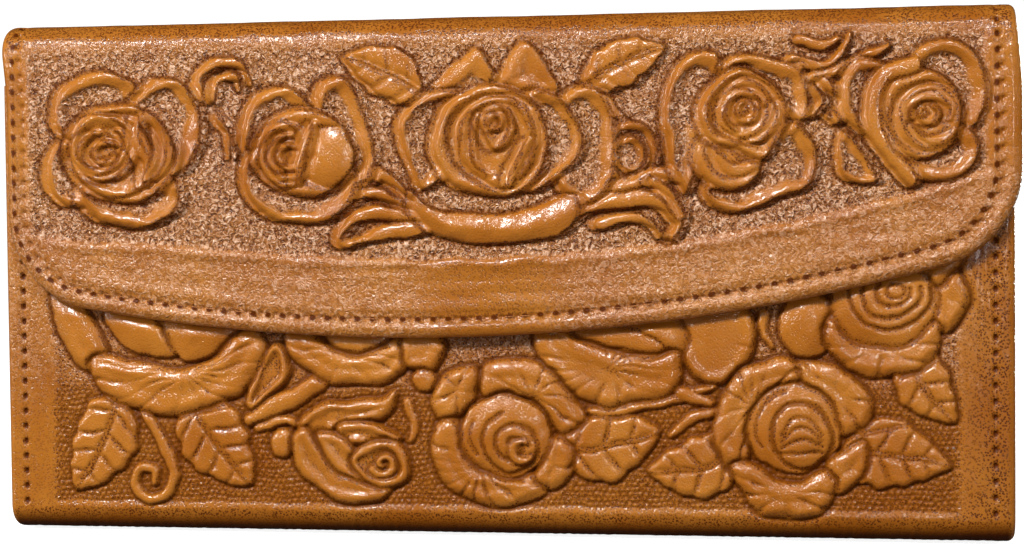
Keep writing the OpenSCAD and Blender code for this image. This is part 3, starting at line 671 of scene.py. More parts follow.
def press_front(r):
    """Keeps the cover flat where the flap lies on it, and level round the press stud."""
    under = smooth(-2.2, 0.6, r.Z - flap_edge(np.clip(r.X, -101.9, 101.9)))
    r.height = np.where(r.height > 0, r.height * (1 - 0.7 * under), r.height)
    near_stud = smooth(9, 6.5, np.hypot(r.X, r.Z - STUD_Z))
    r.height *= 1 - near_stud
    r.dark *= 1 - near_stud
    r.height = np.minimum(r.height, 0.4 * under + 3 * (1 - under))


def front_relief():
    r = Relief(FRONT_SPAN, (0.988, -2.2, 0.974, 1.3), 21)
    ground = front_field(r)
    front_sprigs(r)
    blossoms(r)
    for flower in (rose_f, rose_g, rose_h, rosebud):
        flower(r)
    low = ground * (1 - r.covered)
    r.age(1.2, 1.15)
    r.dark = np.maximum(r.dark, 0.3 * low * smooth(26, 34, r.Z))
    r.beads(low * smooth(34, 28, r.Z), 1.12, 0.46, 4, 0.95, 0.1)
    r.beads(low * smooth(28, 34, r.Z), 0.8, 0.2, 6, 0.4)
    press_front(r)
    seam(r, front_seam_points())
    # Grit with its painted glints on the ground, and on the left edge high up, where it stands for a pale
    # glare of light
    edge = smooth(-84, -96, r.X)
    r.grit_and_glint = 0.55 * low * smooth(24, 40, r.Z) + 0.3 * edge * smooth(40, 60, r.Z + 20 * edge)
    # Painted shade: the plain leather is darker toward the right edge and much darker at the bottom fold,
    # where less light falls; the 0.12 is its own tone
    tone_and_shade = 0.12 + 0.2 * smooth(88, 99, r.X) + 0.15 * smooth(7, 3, r.Z) + 0.85 * smooth(5, 0, r.Z)
    r.dark = np.maximum(r.dark, (1 - ground) * tone_and_shade)
    r.height += (1 - ground) * 0.05 * ripple(r.X, r.Z * 0.3, 1.2, 15)
    return r


# ---------- seams ----------

def side_seam_points(z0, z1):
    """Awl holes down both sides of a cover, and the direction of the seam at each, as (x, z, angle)."""
    heights = [z0 + i * PITCH for i in range(int((z1 - z0) / PITCH) + 1)]
    return [(side * (HALF_W - SEAM_IN), z, QUARTER) for side in (-1, 1) for z in heights]


def front_seam_points():
    return side_seam_points(BOTTOM_R + 1, FRONT_H - 1)


def back_seam_points():
    return side_seam_points(BOTTOM_R + 1, BODY_H + 8)


def arc_seam(centre, radius, a0, a1):
    count = round(radius * (a1 - a0) / PITCH)
    for i in range(count + 1):
        a = a0 + (a1 - a0) * i / count
        yield centre[0] + radius * math.sin(a), centre[1] - radius * math.cos(a), a


def flap_seam_points():
    """Awl holes all round the flap, from one top corner to the other."""
    left, right = corner_centre(-1), corner_centre(1)
    top = 110.0
    down = int((top - left[1]) / PITCH)
    up = int((top - right[1]) / PITCH)
    x = HALF_W - SEAM_IN
    points = [(-x, left[1] + (down - i) * PITCH, QUARTER) for i in range(down)]
    points += arc_seam(left, CORNER_R - SEAM_IN, -QUARTER, corner_angle(-1))
    points += list(arc_seam(FLAP_ARC, FLAP_R - SEAM_IN, corner_angle(-1), corner_angle(1)))[1:]
    points += list(arc_seam(right, CORNER_R - SEAM_IN, corner_angle(1), QUARTER))[1:]
    points += [(x, right[1] + (i + 1) * PITCH, QUARTER) for i in range(up)]
    return points


def seam(r, points):
    """Presses a shallow channel between the holes, and a hole at each end of a stitch, painted dark for the
    shade inside it.
    """
    for (x0, z0, _), (x1, z1, _) in zip(points, points[1:]):
        if math.hypot(x1 - x0, z1 - z0) > SEAM_BREAK * PITCH:
            continue
        line = np.array([(x0, z0), (x1, z1)])
        win = r.window(line, 2.5)
        dist, _ = line_distance(r.X[win], r.Z[win], line)
        channel = 3 * smooth(1.2, 2.2, dist) - 0.07 * bell(dist, 0.8)
        r.height[win] = np.minimum(r.height[win], channel)
    for x, z, angle in points:
        win = r.window(np.array([(x, z)]), 1.6)
        dx, dz = r.X[win] - x, r.Z[win] - z
        along = dx * math.cos(angle) + dz * math.sin(angle)
        across = dz * math.cos(angle) - dx * math.sin(angle)
        dist = np.hypot(along / HOLE_LONG, across / HOLE_WIDE)
        hole = bell(dist, 1, 4)
        r.height[win] -= HOLE_DEEP * hole
        # Painted shade: the hole is darkened as the shade inside it would be
        r.dark[win] = np.maximum(r.dark[win], 2.0 * hole)


# ---------- sheets of leather ----------

class Path:
    """A line in the YZ plane of straight runs and quarter turns, measured along its length."""

    def __init__(self, start, direction, normal, pieces):
        self.pieces = []
        p, t, n = (np.array(v, float) for v in (start, direction, normal))
        s = 0.0
        for kind, size in pieces:
            self.pieces.append((kind, s, p, t, n, size))
            if kind == "line":
                p, s = p + t * size, s + size
            else:
                p, t, n, s = p - n * size + t * size, -n, t, s + size * QUARTER
        self.length = s

    def at(self, s):
        """Points and outward normals at distances s, as two arrays of (y, z)."""
        s = np.asarray(s, float)
        point, normal = np.zeros(s.shape + (2,)), np.zeros(s.shape + (2,))
        for kind, s0, p, t, n, size in self.pieces:
            here = (s >= s0 - 1e-9)[..., None]
            d = (s - s0)[..., None]
            if kind == "line":
                q, m = p + d * t, np.broadcast_to(n, point.shape)
            else:
                a = np.clip(d / size, 0, QUARTER)
                m = n * np.cos(a) + t * np.sin(a)
                q = p - n * size + m * size
            point, normal = np.where(here, q, point), np.where(here, m, normal)
        return point, normal


def outer_path(which, inset=0.0):
    """The outer surface of one of the three leather pieces, moved inward by inset."""
    low, high = ("arc", BOTTOM_R - inset), ("arc", TOP_R - inset)
    mid = (Y_FRONT + Y_BACK) / 2
    if which == "front":
        run = mid - (Y_FRONT + BOTTOM_R)
        return Path((mid, inset), (-1, 0), (0, -1), [("line", run), low, ("line", FRONT_H - BOTTOM_R)])
    if which == "back":
        run = (Y_BACK - BOTTOM_R) - mid
        rise = BODY_H - TOP_R - BOTTOM_R
        return Path((mid, inset), (1, 0), (0, -1),
                    [("line", run), low, ("line", rise), high, ("line", Y_BACK - TOP_R)])
    drop = BODY_H - TOP_R - 30
    return Path((0, BODY_H - inset), (-1, 0), (0, 1), [("line", -(Y_FLAP + TOP_R)), high, ("line", drop)])


def spaced(length, step, start_edge, end_edge):
    """Positions from 0 to length, closer together at the ends that are rounded edges."""
    fine = np.array([0, 0.04, 0.12, 0.25, 0.42, 0.62, 0.86, 1.15])
    lo = fine if start_edge else np.array([0.0])
    hi = length - fine[::-1] if end_edge else np.array([length])
    count = max(2, int(round((hi[0] - lo[-1]) / step)))
    return np.concatenate([lo[:-1], np.linspace(lo[-1], hi[0], count + 1), hi[1:]])


def edge_drop(d, thickness):
    """How far a rounded edge falls away at distance d in from it."""
    r = thickness / 2
    return r - np.sqrt(np.clip(r * r - np.clip(r - d, 0, r) ** 2, 0, None))


def grid_faces(rows, cols, flip=False):
    """Quads over a grid of points stored row by row."""
    i = np.arange(rows - 1)[:, None] * cols + np.arange(cols - 1)[None, :]
    quads = np.stack([i, i + 1, i + cols + 1, i + cols], -1).reshape(-1, 4)
    return quads[:, ::-1] if flip else quads


def make_mesh(name, points, faces, attributes=None):
    """A mesh object from points in millimetres."""
    mesh = bpy.data.meshes.new(name)
    points = np.asarray(points, float) * MM
    faces = np.asarray(faces, int)
    mesh.vertices.add(len(points))
    mesh.vertices.foreach_set("co", points.ravel())
    mesh.loops.add(faces.size)
    mesh.loops.foreach_set("vertex_index", faces.ravel())
    mesh.polygons.add(len(faces))
    mesh.polygons.foreach_set("loop_start", np.arange(len(faces)) * faces.shape[1])
    mesh.polygons.foreach_set("use_smooth", np.full(len(faces), True))
    mesh.update(calc_edges=True)
    mesh.validate()
    for key, values in (attributes or {}).items():
        layer = mesh.attributes.new(key, "FLOAT", "POINT")
        layer.data.foreach_set("value", np.asarray(values, np.float32).ravel())
    obj = bpy.data.objects.new(name, mesh)
    bpy.context.scene.collection.objects.link(obj)
    return obj


def rim_of(rows, cols):
    """The border of a grid of points, in order."""
    return np.concatenate([np.arange(cols), np.arange(1, rows) * cols + cols - 1,
                           (rows - 1) * cols + np.arange(cols - 2, -1, -1),
                           np.arange(rows - 2, 0, -1) * cols])


def solid_faces(rows, cols):
    """Faces of an outer grid, of the inner grid stored after it, and of the wall round their borders."""
    n = rows * cols
    rim = rim_of(rows, cols)
    nxt = np.roll(rim, -1)
    wall = np.stack([nxt, rim, rim + n, nxt + n], 1)
    return np.vstack([grid_faces(rows, cols), grid_faces(rows, cols, True) + n, wall])


def solid_sheet(name, outer, inner, attributes=None):
    """Closes the space between an outer and an inner grid of points into one solid."""
    rows, cols = outer.shape[:2]
    points = np.vstack([outer.reshape(-1, 3), inner.reshape(-1, 3)])
    both = {k: np.concatenate([v.ravel(), np.zeros(rows * cols)]) for k, v in (attributes or {}).items()}
    return make_mesh(name, points, solid_faces(rows, cols), both)


def beside(x, yz):
    """Points from their x and their (y, z)."""
    return np.concatenate([x[..., None], yz], -1)


def socket_recess(x, z):
    """Moves grid points beside the stud socket onto a circle, and tells which lie in its recess."""
    dx, dz = x, z - STUD_Z
    r = np.hypot(dx, dz) + 1e-9
    inside = r < RECESS_R
    ring = np.abs(r - RECESS_R) < 0.5
    to = np.where(ring, np.where(inside, RECESS_R - 0.05, RECESS_R + 0.08), r)
    return dx / r * to, STUD_Z + dz / r * to, inside


class Skin:
    """One of the three pieces of outer leather: it gives the place of any spot of the pattern."""

    def __init__(self, which, relief, shift=lambda x, u: 0.0 * x):
        self.path, self.relief, self.shift, self.which = outer_path(which), relief, shift, which
        fold = self.path.pieces[2][1]
        self.sign, self.zero = (-1, BODY_H - TOP_R + fold) if which == "flap" else (1, BOTTOM_R - fold)

    def height_at(self, s):
        return self.zero + self.sign * s

    def spot(self, x, u, lift=0.0):
        """Point and outward normal of the pattern's spot (x, u), raised by lift."""
        point, normal = self.path.at((np.asarray(u, float) - self.zero) * self.sign)
        rise = self.relief.sample("height", x, np.asarray(u, float)) + lift
        point = point + normal * rise[..., None]
        x = np.asarray(x, float) + self.shift(np.asarray(x, float), u)
        return beside(x, point), beside(0 * x, normal)

    def sheet(self, name, margin, end, rows, columns):
        """The leather itself. margin gives the distance to the nearest finished edge, and end the length
        of the sheet at each column."""
        X = np.broadcast_to(columns, (len(rows), len(columns)))
        S = (rows / rows[-1])[:, None] * end[None, :]
        U = self.height_at(S)
        D = margin(X, U)
        H = self.relief.sample("height", X, U) * smooth(0.4, 2.0, D)
        point, normal = self.path.at(S)
        turned = smooth(3.0, 2.1, D)
        thick = LEATHER_T + (WALL_T - LEATHER_T) * turned
        drop = edge_drop(D, WALL_T)
        out = point + normal * (H - drop)[..., None]
        if self.which == "flap":
            _, _, recess = socket_recess(X, U)
            thick = np.where(recess & (U < 90), 0.6, thick)
        inn = point - normal * (thick - drop * smooth(2.4, 1.6, D))[..., None]
        X = X + self.shift(X, U)
        outer, inner = beside(X, out), beside(X, inn)
        marks = {"dark": self.relief.sample("dark", X, U) * smooth(0.5, 1.5, D),
                 "grit_and_glint": self.relief.sample("grit_and_glint", X, U)}
        return solid_sheet(name, outer, inner, marks)

    def thread(self, name, points):
        """Stitches between neighbouring awl holes."""
        spots = []
        for (x0, u0, _), (x1, u1, _) in zip(points, points[1:]):
            if math.hypot(x1 - x0, u1 - u0) < SEAM_BREAK * PITCH:
                spots.append((x0, u0, x1, u1))
        a = np.array(spots)
        lift = -THREAD_SINK - self.relief.sample("height", a[:, 0], a[:, 1])
        start, n0 = self.spot(a[:, 0], a[:, 1], lift)
        finish, n1 = self.spot(a[:, 2], a[:, 3], lift)
        return stitches(name, start, finish, (n0 + n1) / 2)


def stitches(name, start, finish, normal, rings=7, sides=6):
    """One short arched thread from each start to each finish, in a single mesh."""
    points, faces = [], []
    ring_base = np.arange(sides)
    for p, q, n in zip(start, finish, normal):
        n = n / np.linalg.norm(n)
        t = (q - p) / np.linalg.norm(q - p)
        b = np.cross(t, n)
        first = len(points) * sides
        for k in range(rings):
            f = 0.2 + 0.6 * k / (rings - 1)
            arch = THREAD_ARCH * (1 - abs(2 * f - 1) ** 3) - THREAD_R
            r = THREAD_R * (1 - 0.45 * abs(2 * f - 1) ** 4)
            a = 2 * math.pi * ring_base / sides
            centre = p + (q - p) * f + n * arch
            points.append(centre + r * (np.cos(a)[:, None] * b + np.sin(a)[:, None] * n))
        for k in range(rings - 1):
            i = first + k * sides + ring_base
            j = first + k * sides + (ring_base + 1) % sides
            faces.append(np.stack([i, j, j + sides, i + sides], 1))
    return make_mesh(name, np.vstack(points), np.vstack(faces))


def all_columns(step, half=HALF_W):
    return spaced(2 * half, step, True, True) - half


def finer_near_stud(columns):
    """The same columns, with closer ones in the zone of the press stud."""
    near = np.arange(-STUD_ZONE, STUD_ZONE + 0.01, 0.3)
    return np.sort(np.concatenate([columns[np.abs(columns) >= STUD_ZONE], near]))


def narrowed(x):
    """The top of the wallet is a little narrower on its left side."""
    return TOP_NARROW * (HALF_W - x) / (2 * HALF_W)


def flap_shift(x, u):
    """The flap hangs about a millimetre to the right of the body."""
    return FLAP_OFFSET * smooth(BODY_H, BODY_H - 18, u) + narrowed(x)


def back_shift(x, u):
    return narrowed(x) * smooth(BODY_H - 30, BODY_H, u)


def flap_sheet(skin, step):
    fold_z = BODY_H - TOP_R
    columns = all_columns(step)
    end = skin.zero - flap_edge(columns)
    rows = spaced(end.max(), step, False, True)

    def margin(x, u):
        return np.where(u < fold_z, flap_margin(x, np.minimum(u, fold_z)), HALF_W - np.abs(x))

    return skin.sheet("flap_leather", margin, end, rows, columns)


def front_sheet(skin, step):
    columns = all_columns(step)
    rows = spaced(skin.path.length, step, False, True)
    end = np.full(len(columns), skin.path.length)
    return skin.sheet("front_leather", lambda x, u: np.minimum(HALF_W - np.abs(x), FRONT_H - u),
                      end, rows, columns)


def back_sheet(skin, step):
    columns = all_columns(step)
    rows = spaced(skin.path.length, step, False, False)
    end = np.full(len(columns), skin.path.length)
    return skin.sheet("back_leather", lambda x, u: HALF_W - np.abs(x), end, rows, columns)


def back_relief():
    r = Relief(BACK_SPAN)
    r.grit_and_glint += 0.12
    seam(r, back_seam_points())
    return r


# ---------- linings, boards and pockets ----------

def lining_sheet(name, which, step=1.0):
    """The lining of one leather piece, which follows the same folds closer in."""
    path = outer_path(which, LEATHER_T + CORE_T)
    fold = path.pieces[2][1]
    half = HALF_W - 2.5
    columns = all_columns(step, half)
    if which == "flap":
        columns = finer_near_stud(columns)
        end = BODY_H - TOP_R + fold - flap_edge(columns, 2.5)
        rows = spaced(end.max(), 0.45, False, True)
    else:
        end = np.full(len(columns), path.length)
        rows = spaced(path.length, step, False, which == "front")
    X = np.broadcast_to(columns, (len(rows), len(columns))).copy()
    S = (rows / rows[-1])[:, None] * end[None, :]
    nap = 0.035 * ripple(X, S, 0.9, 31) + 0.05 * ripple(X, S, 7, 32)
    recess = np.zeros(X.shape, bool)
    if which == "flap":
        U = BODY_H - TOP_R + fold - S
        X, moved, recess = socket_recess(X, U)
        S = BODY_H - TOP_R + fold - moved
        X = X + flap_shift(X, moved)
    point, normal = path.at(S)
    out = point + normal * np.where(recess, 1.75, -0.02)[..., None]
    inn = point + normal * np.where(recess, 1.55, -LINING_T + 0.06 + nap)[..., None]
    return solid_sheet(name, beside(X, out), beside(X, inn))


def slab_grids(lo, hi, step, swell):
    """Two facing grids for a thin rounded slab. The shortest side is its thickness, and swell(a, b) the
    height of the surface's waves, from its two long coordinates."""
    lo, hi = np.array(lo, float), np.array(hi, float)
    thin = int(np.argmin(hi - lo))
    i, j = [k for k in range(3) if k != thin]
    t = hi[thin] - lo[thin]
    a = spaced(hi[i] - lo[i], step, True, True) + lo[i]
    b = spaced(hi[j] - lo[j], step, True, True) + lo[j]
    A, B = np.meshgrid(a, b)
    edge = np.minimum(np.minimum(A - lo[i], hi[i] - A), np.minimum(B - lo[j], hi[j] - B))
    drop = edge_drop(edge, t)
    wave = swell(A, B) * smooth(0, 1, edge)
    grids = []
    for level in (lo[thin] + drop + wave, hi[thin] - drop + wave):
        grid = np.zeros(A.shape + (3,))
        grid[..., i], grid[..., j], grid[..., thin] = A, B, level
        grids.append(grid)
    return grids if thin == 1 else grids[::-1]


def slab(name, lo, hi, step=1.5, swell=lambda a, b: 0.02 * ripple(a, b, 3, 8)):
    return solid_sheet(name, *slab_grids(lo, hi, step, swell))


def pocket_panel(name, lo, hi, seed):
    """A leather pocket: a flat panel with a creased line under its open top edge."""
    top = hi[2]

    def swell(x, z):
        crease = -0.09 * bell(top - z - 2.4, 0.45) - 0.05 * bell(top - z - 3.6, 0.4)
        return -crease + 0.02 * ripple(x, z, 12, seed)

    return slab(name, lo, hi, 0.8, swell)


def flap_pad(step=1.2):
    """The pad between the flap's leather and its lining, cut away round the stud's socket."""
    half = HALF_W - 3
    columns = finer_near_stud(all_columns(step, half))
    top = BODY_H - TOP_R - 4
    low = flap_edge(columns, 3)
    f = spaced(100, 0.8, True, True) / 100
    X = np.broadcast_to(columns, (len(f), len(columns))).copy()
    Z = top + (low - top)[None, :] * f[:, None]
    X, Z, recess = socket_recess(X, Z)
    X = X + flap_shift(X, Z)
    Y = Y_FLAP + LEATHER_T + 0.02
    out = np.where(recess, Y - 0.95, Y)
    inn = np.where(recess, Y - 0.9, Y + CORE_T - 0.06 + 0.03 * ripple(X, Z, 4, 9))
    return solid_sheet("flap_pad_board", np.stack([X, out, Z], -1), np.stack([X, inn, Z], -1))


def gusset(name, side):
    """A pleated side piece, glued inside the back and front covers and folded inward between them."""
    edge, depth = HALF_W - 1.5, 18.0
    back_y, front_y = Y_BACK - WALL_T - 0.4, Y_FRONT + WALL_T + 0.4
    mid = (Y_BACK - WALL_T + Y_FRONT + WALL_T) / 2
    outline = [(edge - 6, back_y), (edge - 3, back_y), (edge - 0.9, back_y - 0.25),
               (edge - 1.2, back_y - 1.3), (edge - depth * 0.5, (back_y + mid) / 2 + 0.5),
               (edge - depth + 0.8, mid + 0.7), (edge - depth, mid), (edge - depth + 0.8, mid - 0.7),
               (edge - depth * 0.5, (front_y + mid) / 2 - 0.5), (edge - 1.2, front_y + 1.3),
               (edge - 0.9, front_y + 0.25), (edge - 3, front_y), (edge - 6, front_y)]
    line = curve(outline, per=8)
    tangent = np.gradient(line, axis=0)
    tangent /= np.linalg.norm(tangent, axis=1)[:, None]
    normal = np.stack([-tangent[:, 1], tangent[:, 0]], 1)
    z = spaced(80, 1.2, True, True) + 8
    along = np.linspace(0, 1, len(line))
    dip = 5 * bell(along - 0.5, 0.16)
    Z = 8 + (z - 8)[:, None] / 80 * (80 - dip)[None, :]
    edge_gap = np.minimum(z - 8, 88 - z)[:, None] + 0 * Z
    half = 0.4 - edge_drop(edge_gap, 0.8)
    wave = 0.06 * ripple(Z, along[None, :] * 40 + 0 * Z, 9, 17 + side)
    grids = []
    for sign in (1, -1):
        offset = (wave + sign * half)[..., None] * normal[None, :, :]
        xy = line[None, :, :] + offset
        grids.append(np.stack([side * xy[..., 0], xy[..., 1], Z], -1))
    return solid_sheet(name, *(grids if side < 0 else grids[::-1]))


COIN_HALF = 81.8
COIN_Y, COIN_T, COIN_H, COIN_LOW, COIN_R = 2.65, 5.2, 74.0, 4.5, 2.4


def coin_pocket():
    """The zipped pocket's single sheet, folded up from its front edge, round the bottom and up the back."""
    drop = COIN_H - COIN_LOW - COIN_R
    wall, corner = ("line", drop), ("arc", COIN_R)
    pieces = [wall, corner, ("line", COIN_T - 2 * COIN_R), corner, wall]
    path = Path((COIN_Y - COIN_T / 2, COIN_H), (0, -1), (-1, 0), pieces)
    columns = all_columns(1.0, COIN_HALF)
    rows = spaced(path.length, 1.0, True, True)
    X, S = np.meshgrid(columns, rows)
    point, normal = path.at(S)
    edge = np.minimum(np.minimum(COIN_HALF - np.abs(X), S), path.length - S)
    drop = edge_drop(edge, 0.9)
    near_top = np.minimum(S, path.length - S)
    crease = -0.07 * bell(near_top - 3, 0.4)
    wave = 0.03 * ripple(X, S, 8, 51) * smooth(1, 6, near_top)
    out = point + normal * (crease + wave - 0.05 - drop)[..., None]
    inn = point + normal * (wave - 0.9 + drop)[..., None]
    return solid_sheet("coin_pocket_leather", beside(X, out), beside(X, inn))


def joined(name, parts):
    """One mesh from several solids of two grids each."""
    points, faces, start = [], [], 0
    for outer, inner in parts:
        rows, cols = outer.shape[:2]
        points += [outer.reshape(-1, 3), inner.reshape(-1, 3)]
        faces.append(solid_faces(rows, cols) + start)
        start += 2 * rows * cols
    return make_mesh(name, np.vstack(points), np.vstack(faces))


def zip_tape():
    """Two woven strips, one on each side of the teeth."""
    parts = []
    for side in (-1, 1):
        y = sorted((COIN_Y + side * 1.1, COIN_Y + side * 1.7))
        parts.append(slab_grids((-COIN_HALF + 2, y[0], 73.0), (COIN_HALF - 2, y[1], 73.4), 0.5,
                                lambda a, b: 0.03 * np.cos(a * 2 * np.pi / 0.9)))
    return joined("zip_tape_weave", parts)


def line_stitches(name, ways, normal=(0, -1, 0)):
    """Stitches along straight lines, each from one point to another."""
    start, finish = [], []
    for a, b in ways:
        a, b = np.array(a, float), np.array(b, float)
        length = np.linalg.norm(b - a)
        t = (b - a) / length
        for i in range(int(length / PITCH)):
            start.append(a + t * PITCH * i)
            finish.append(a + t * PITCH * (i + 1))
    n = np.tile(np.array(normal, float), (len(start), 1))
    return stitches(name, np.array(start), np.array(finish), n)


# ---------- materials ----------

class Nodes:
    """Short ways to add shader nodes to one material."""

    def __init__(self, name):
        self.material = bpy.data.materials.new(name)
        self.material.use_nodes = True
        self.tree = self.material.node_tree
        self.shader = self.tree.nodes["Principled BSDF"]

    def add(self, kind, **settings):
        node = self.tree.nodes.new(kind)
        for key, value in settings.items():
            if key in node.inputs:
                self.put(node.inputs[key], value)
            else:
                setattr(node, key, value)
        return node

    def put(self, socket, value):
        if hasattr(value, "is_output"):
            self.tree.links.new(value, socket)
        else:
            socket.default_value = value

    def mix(self, factor, a, b):
        node = self.add("ShaderNodeMix", data_type="RGBA")
        for socket, value in ((node.inputs[0], factor), (node.inputs[6], a), (node.inputs[7], b)):
            self.put(socket, value)
        return node.outputs[2]

    def math(self, operation, a, b, clamp=False):
        node = self.tree.nodes.new("ShaderNodeMath")
        node.operation, node.use_clamp = operation, clamp
        self.put(node.inputs[0], a)
        self.put(node.inputs[1], b)
        return node.outputs[0]

    def times(self, a, b):
        return self.math("MULTIPLY", a, b)

    def plus(self, a, b, clamp=False):
        return self.math("ADD", a, b, clamp)

    def place(self):
        return self.add("ShaderNodeTexCoord").outputs["Object"]

    def noise(self, scale, detail=2.0, rough=0.5, twist=0.0):
        node = self.add("ShaderNodeTexNoise", Scale=scale, Detail=detail, Roughness=rough, Distortion=twist)
        self.tree.links.new(self.place(), node.inputs["Vector"])
        return node.outputs["Fac"]

    def cells(self, scale):
        node = self.add("ShaderNodeTexVoronoi", Scale=scale)
        self.tree.links.new(self.place(), node.inputs["Vector"])
        return node.outputs["Distance"]

    def spread(self, value, low, high, to_low=0.0, to_high=1.0):
        node = self.add("ShaderNodeMapRange")
        for key, v in (("Value", value), ("From Min", low), ("From Max", high), ("To Min", to_low),
                       ("To Max", to_high)):
            self.put(node.inputs[key], v)
        return node.outputs["Result"]

    def attribute(self, name):
        return self.add("ShaderNodeAttribute", attribute_name=name).outputs["Fac"]

    def bump(self, height, distance_mm, strength=1.0, under=None):
        node = self.add("ShaderNodeBump", Strength=strength, Distance=distance_mm * MM)
        self.put(node.inputs["Height"], height)
        if under is not None:
            self.put(node.inputs["Normal"], under)
        return node.outputs["Normal"]

    def finish(self, color, roughness, normal=None, **more):
        self.put(self.shader.inputs["Base Color"], color)
        self.put(self.shader.inputs["Roughness"], roughness)
        if normal is not None:
            self.put(self.shader.inputs["Normal"], normal)
        for key, value in more.items():
            self.put(self.shader.inputs[key.replace("_", " ")], value)
        return self.material


def tooled_leather():
    """Glossy tan leather with fine pores, dark where the stain has gathered and where shade is painted,
    rough where the grit is strong, with pale painted glints on it."""
    n = Nodes("tooled_leather")
    dark, grit_and_glint = n.attribute("dark"), n.attribute("grit_and_glint")
    mottle, patch = n.noise(70, 3), n.noise(260, 3, 0.6)
    fine, wrinkle = n.noise(2600, 2, 0.6), n.noise(1150, 1.5, 0.55, 1.1)
    pores = n.spread(n.cells(2200), 0.54, 0.26)
    tan = n.mix(n.spread(mottle, 0.35, 0.65), (0.42, 0.125, 0.008, 1), (0.54, 0.19, 0.02, 1))
    # Painted sheen: the grit tints the leather pale pink, as light glancing off it would
    tan = n.mix(n.times(grit_and_glint, 0.25), tan, (0.56, 0.27, 0.125, 1))
    pored = n.times(pores, n.spread(patch, 0.35, 0.62, 0.5, 1.0))
    pored = n.times(pored, n.spread(dark, 0.35, 0.8, 1.0, 0.1))
    pored = n.times(pored, n.spread(dark, 0.04, 0.3, 0.12, 0.95))
    # The dark layer holds the real stain and, in places, painted shade
    stain_and_shade = n.plus(n.times(dark, 0.85), pored, True)
    stain_and_shade = n.plus(stain_and_shade, n.times(grit_and_glint, n.spread(wrinkle, 0.5, 0.34, 0, 0.5)), True)
    stained_and_shaded = n.mix(stain_and_shade, tan, (0.105, 0.021, 0.0012, 1))
    # Painted glints: pale pinkish flecks on the grit, standing for light glinting off its grain
    painted_glint = n.times(n.spread(wrinkle, 0.5, 0.68), n.times(grit_and_glint, n.spread(dark, 0.3, 0.8, 1, 0)))
    pale = n.mix(n.times(painted_glint, 0.85), stained_and_shaded, (0.88, 0.55, 0.36, 1))
    matted = n.bump(n.times(wrinkle, grit_and_glint), 0.8)
    grain = n.plus(n.times(fine, 0.35), n.times(pores, -0.45))
    return n.finish(pale, n.spread(patch, 0.3, 0.7, 0.25, 0.4), n.bump(grain, 0.065, 1.0, matted),
                    Coat_Roughness=0.14, Coat_Weight=n.spread(dark, 0.1, 0.6, 0.85, 0.08),
                    Coat_Normal=n.bump(grain, 0.085, 1.0, matted),
                    Specular_IOR_Level=n.spread(dark, 0.1, 0.6, 0.2, 0.08))


def plain_soft(name, light, dark, scale, bump, rough, sheen=0.0):
    """Plain leather or suede: two close colours mixed by noise, with a grain."""
    n = Nodes(name)
    color = n.mix(n.spread(n.noise(scale * 0.06, 3), 0.3, 0.7), light, dark)
    grain = n.plus(n.noise(scale, 4, 0.65), n.times(n.cells(scale * 0.8), 0.4))
    return n.finish(color, rough, n.bump(grain, bump, 0.8), Sheen_Weight=sheen, Sheen_Tint=light)


def woven(name, light, dark, pitch_mm):
    """Two sets of crossing threads."""
    n = Nodes(name)
    waves = []
    for axis in ("X", "Z"):
        wave = n.add("ShaderNodeTexWave", bands_direction=axis, Scale=1 / (pitch_mm * MM) / 6.28 * 2,
                     Distortion=0.3)
        n.tree.links.new(n.place(), wave.inputs["Vector"])
        waves.append(wave.outputs["Fac"])
    weave = n.times(*waves)
    return n.finish(n.mix(weave, dark, light), 0.8, n.bump(weave, 0.08, 0.9), Sheen_Weight=0.3)


def twisted(name, light, dark):
    """Waxed thread: fine slanting strands."""
    n = Nodes(name)
    wave = n.add("ShaderNodeTexWave", bands_direction="DIAGONAL", Scale=900.0, Distortion=1.0)
    n.tree.links.new(n.place(), wave.inputs["Vector"])
    return n.finish(n.mix(wave.outputs["Fac"], dark, light), 0.5, n.bump(wave.outputs["Fac"], 0.06, 0.8))


def metal(name, color, worn, rough):
    """Metal with faint wear in its colour and roughness."""
    n = Nodes(name)
    wear = n.noise(420, 4, 0.6)
    normal = n.bump(n.noise(1900, 2), 0.012, 0.5)
    return n.finish(n.mix(n.spread(wear, 0.35, 0.7), color, worn),
                    n.spread(wear, 0.3, 0.7, rough, rough + 0.16), normal, Metallic=1.0)


# Light and dark colour, scale of the grain, its depth in mm, roughness, and sheen where there is any
SOFT = {
    "gusset_leather": ((0.36, 0.14, 0.035, 1), (0.26, 0.09, 0.022, 1), 1400, 0.1, 0.5),
    "pocket_leather": ((0.26, 0.11, 0.04, 1), (0.19, 0.075, 0.028, 1), 1500, 0.08, 0.48),
    "lining": ((0.2, 0.085, 0.032, 1), (0.14, 0.056, 0.022, 1), 2200, 0.12, 0.85, 0.4),
    "board": ((0.42, 0.38, 0.31, 1), (0.33, 0.29, 0.23, 1), 1000, 0.1, 0.85),
}
# Colour, worn colour and roughness
METALS = {
    "brass": ((0.78, 0.55, 0.22, 1), (0.55, 0.36, 0.13, 1), 0.24),
    "steel": ((0.62, 0.62, 0.64, 1), (0.42, 0.42, 0.44, 1), 0.3),
}


def make_materials():
    made = {"tooled_leather": tooled_leather()}
    for name, look in SOFT.items():
        made[name] = plain_soft(name, *look)
    made["thread"] = twisted("thread", (0.42, 0.145, 0.018, 1), (0.31, 0.095, 0.01, 1))
    made["tape"] = woven("tape", (0.13, 0.06, 0.028, 1), (0.05, 0.022, 0.01, 1), 0.5)
    for name, look in METALS.items():
        made[name] = metal(name, *look)
    return made


MATERIALS = make_materials()
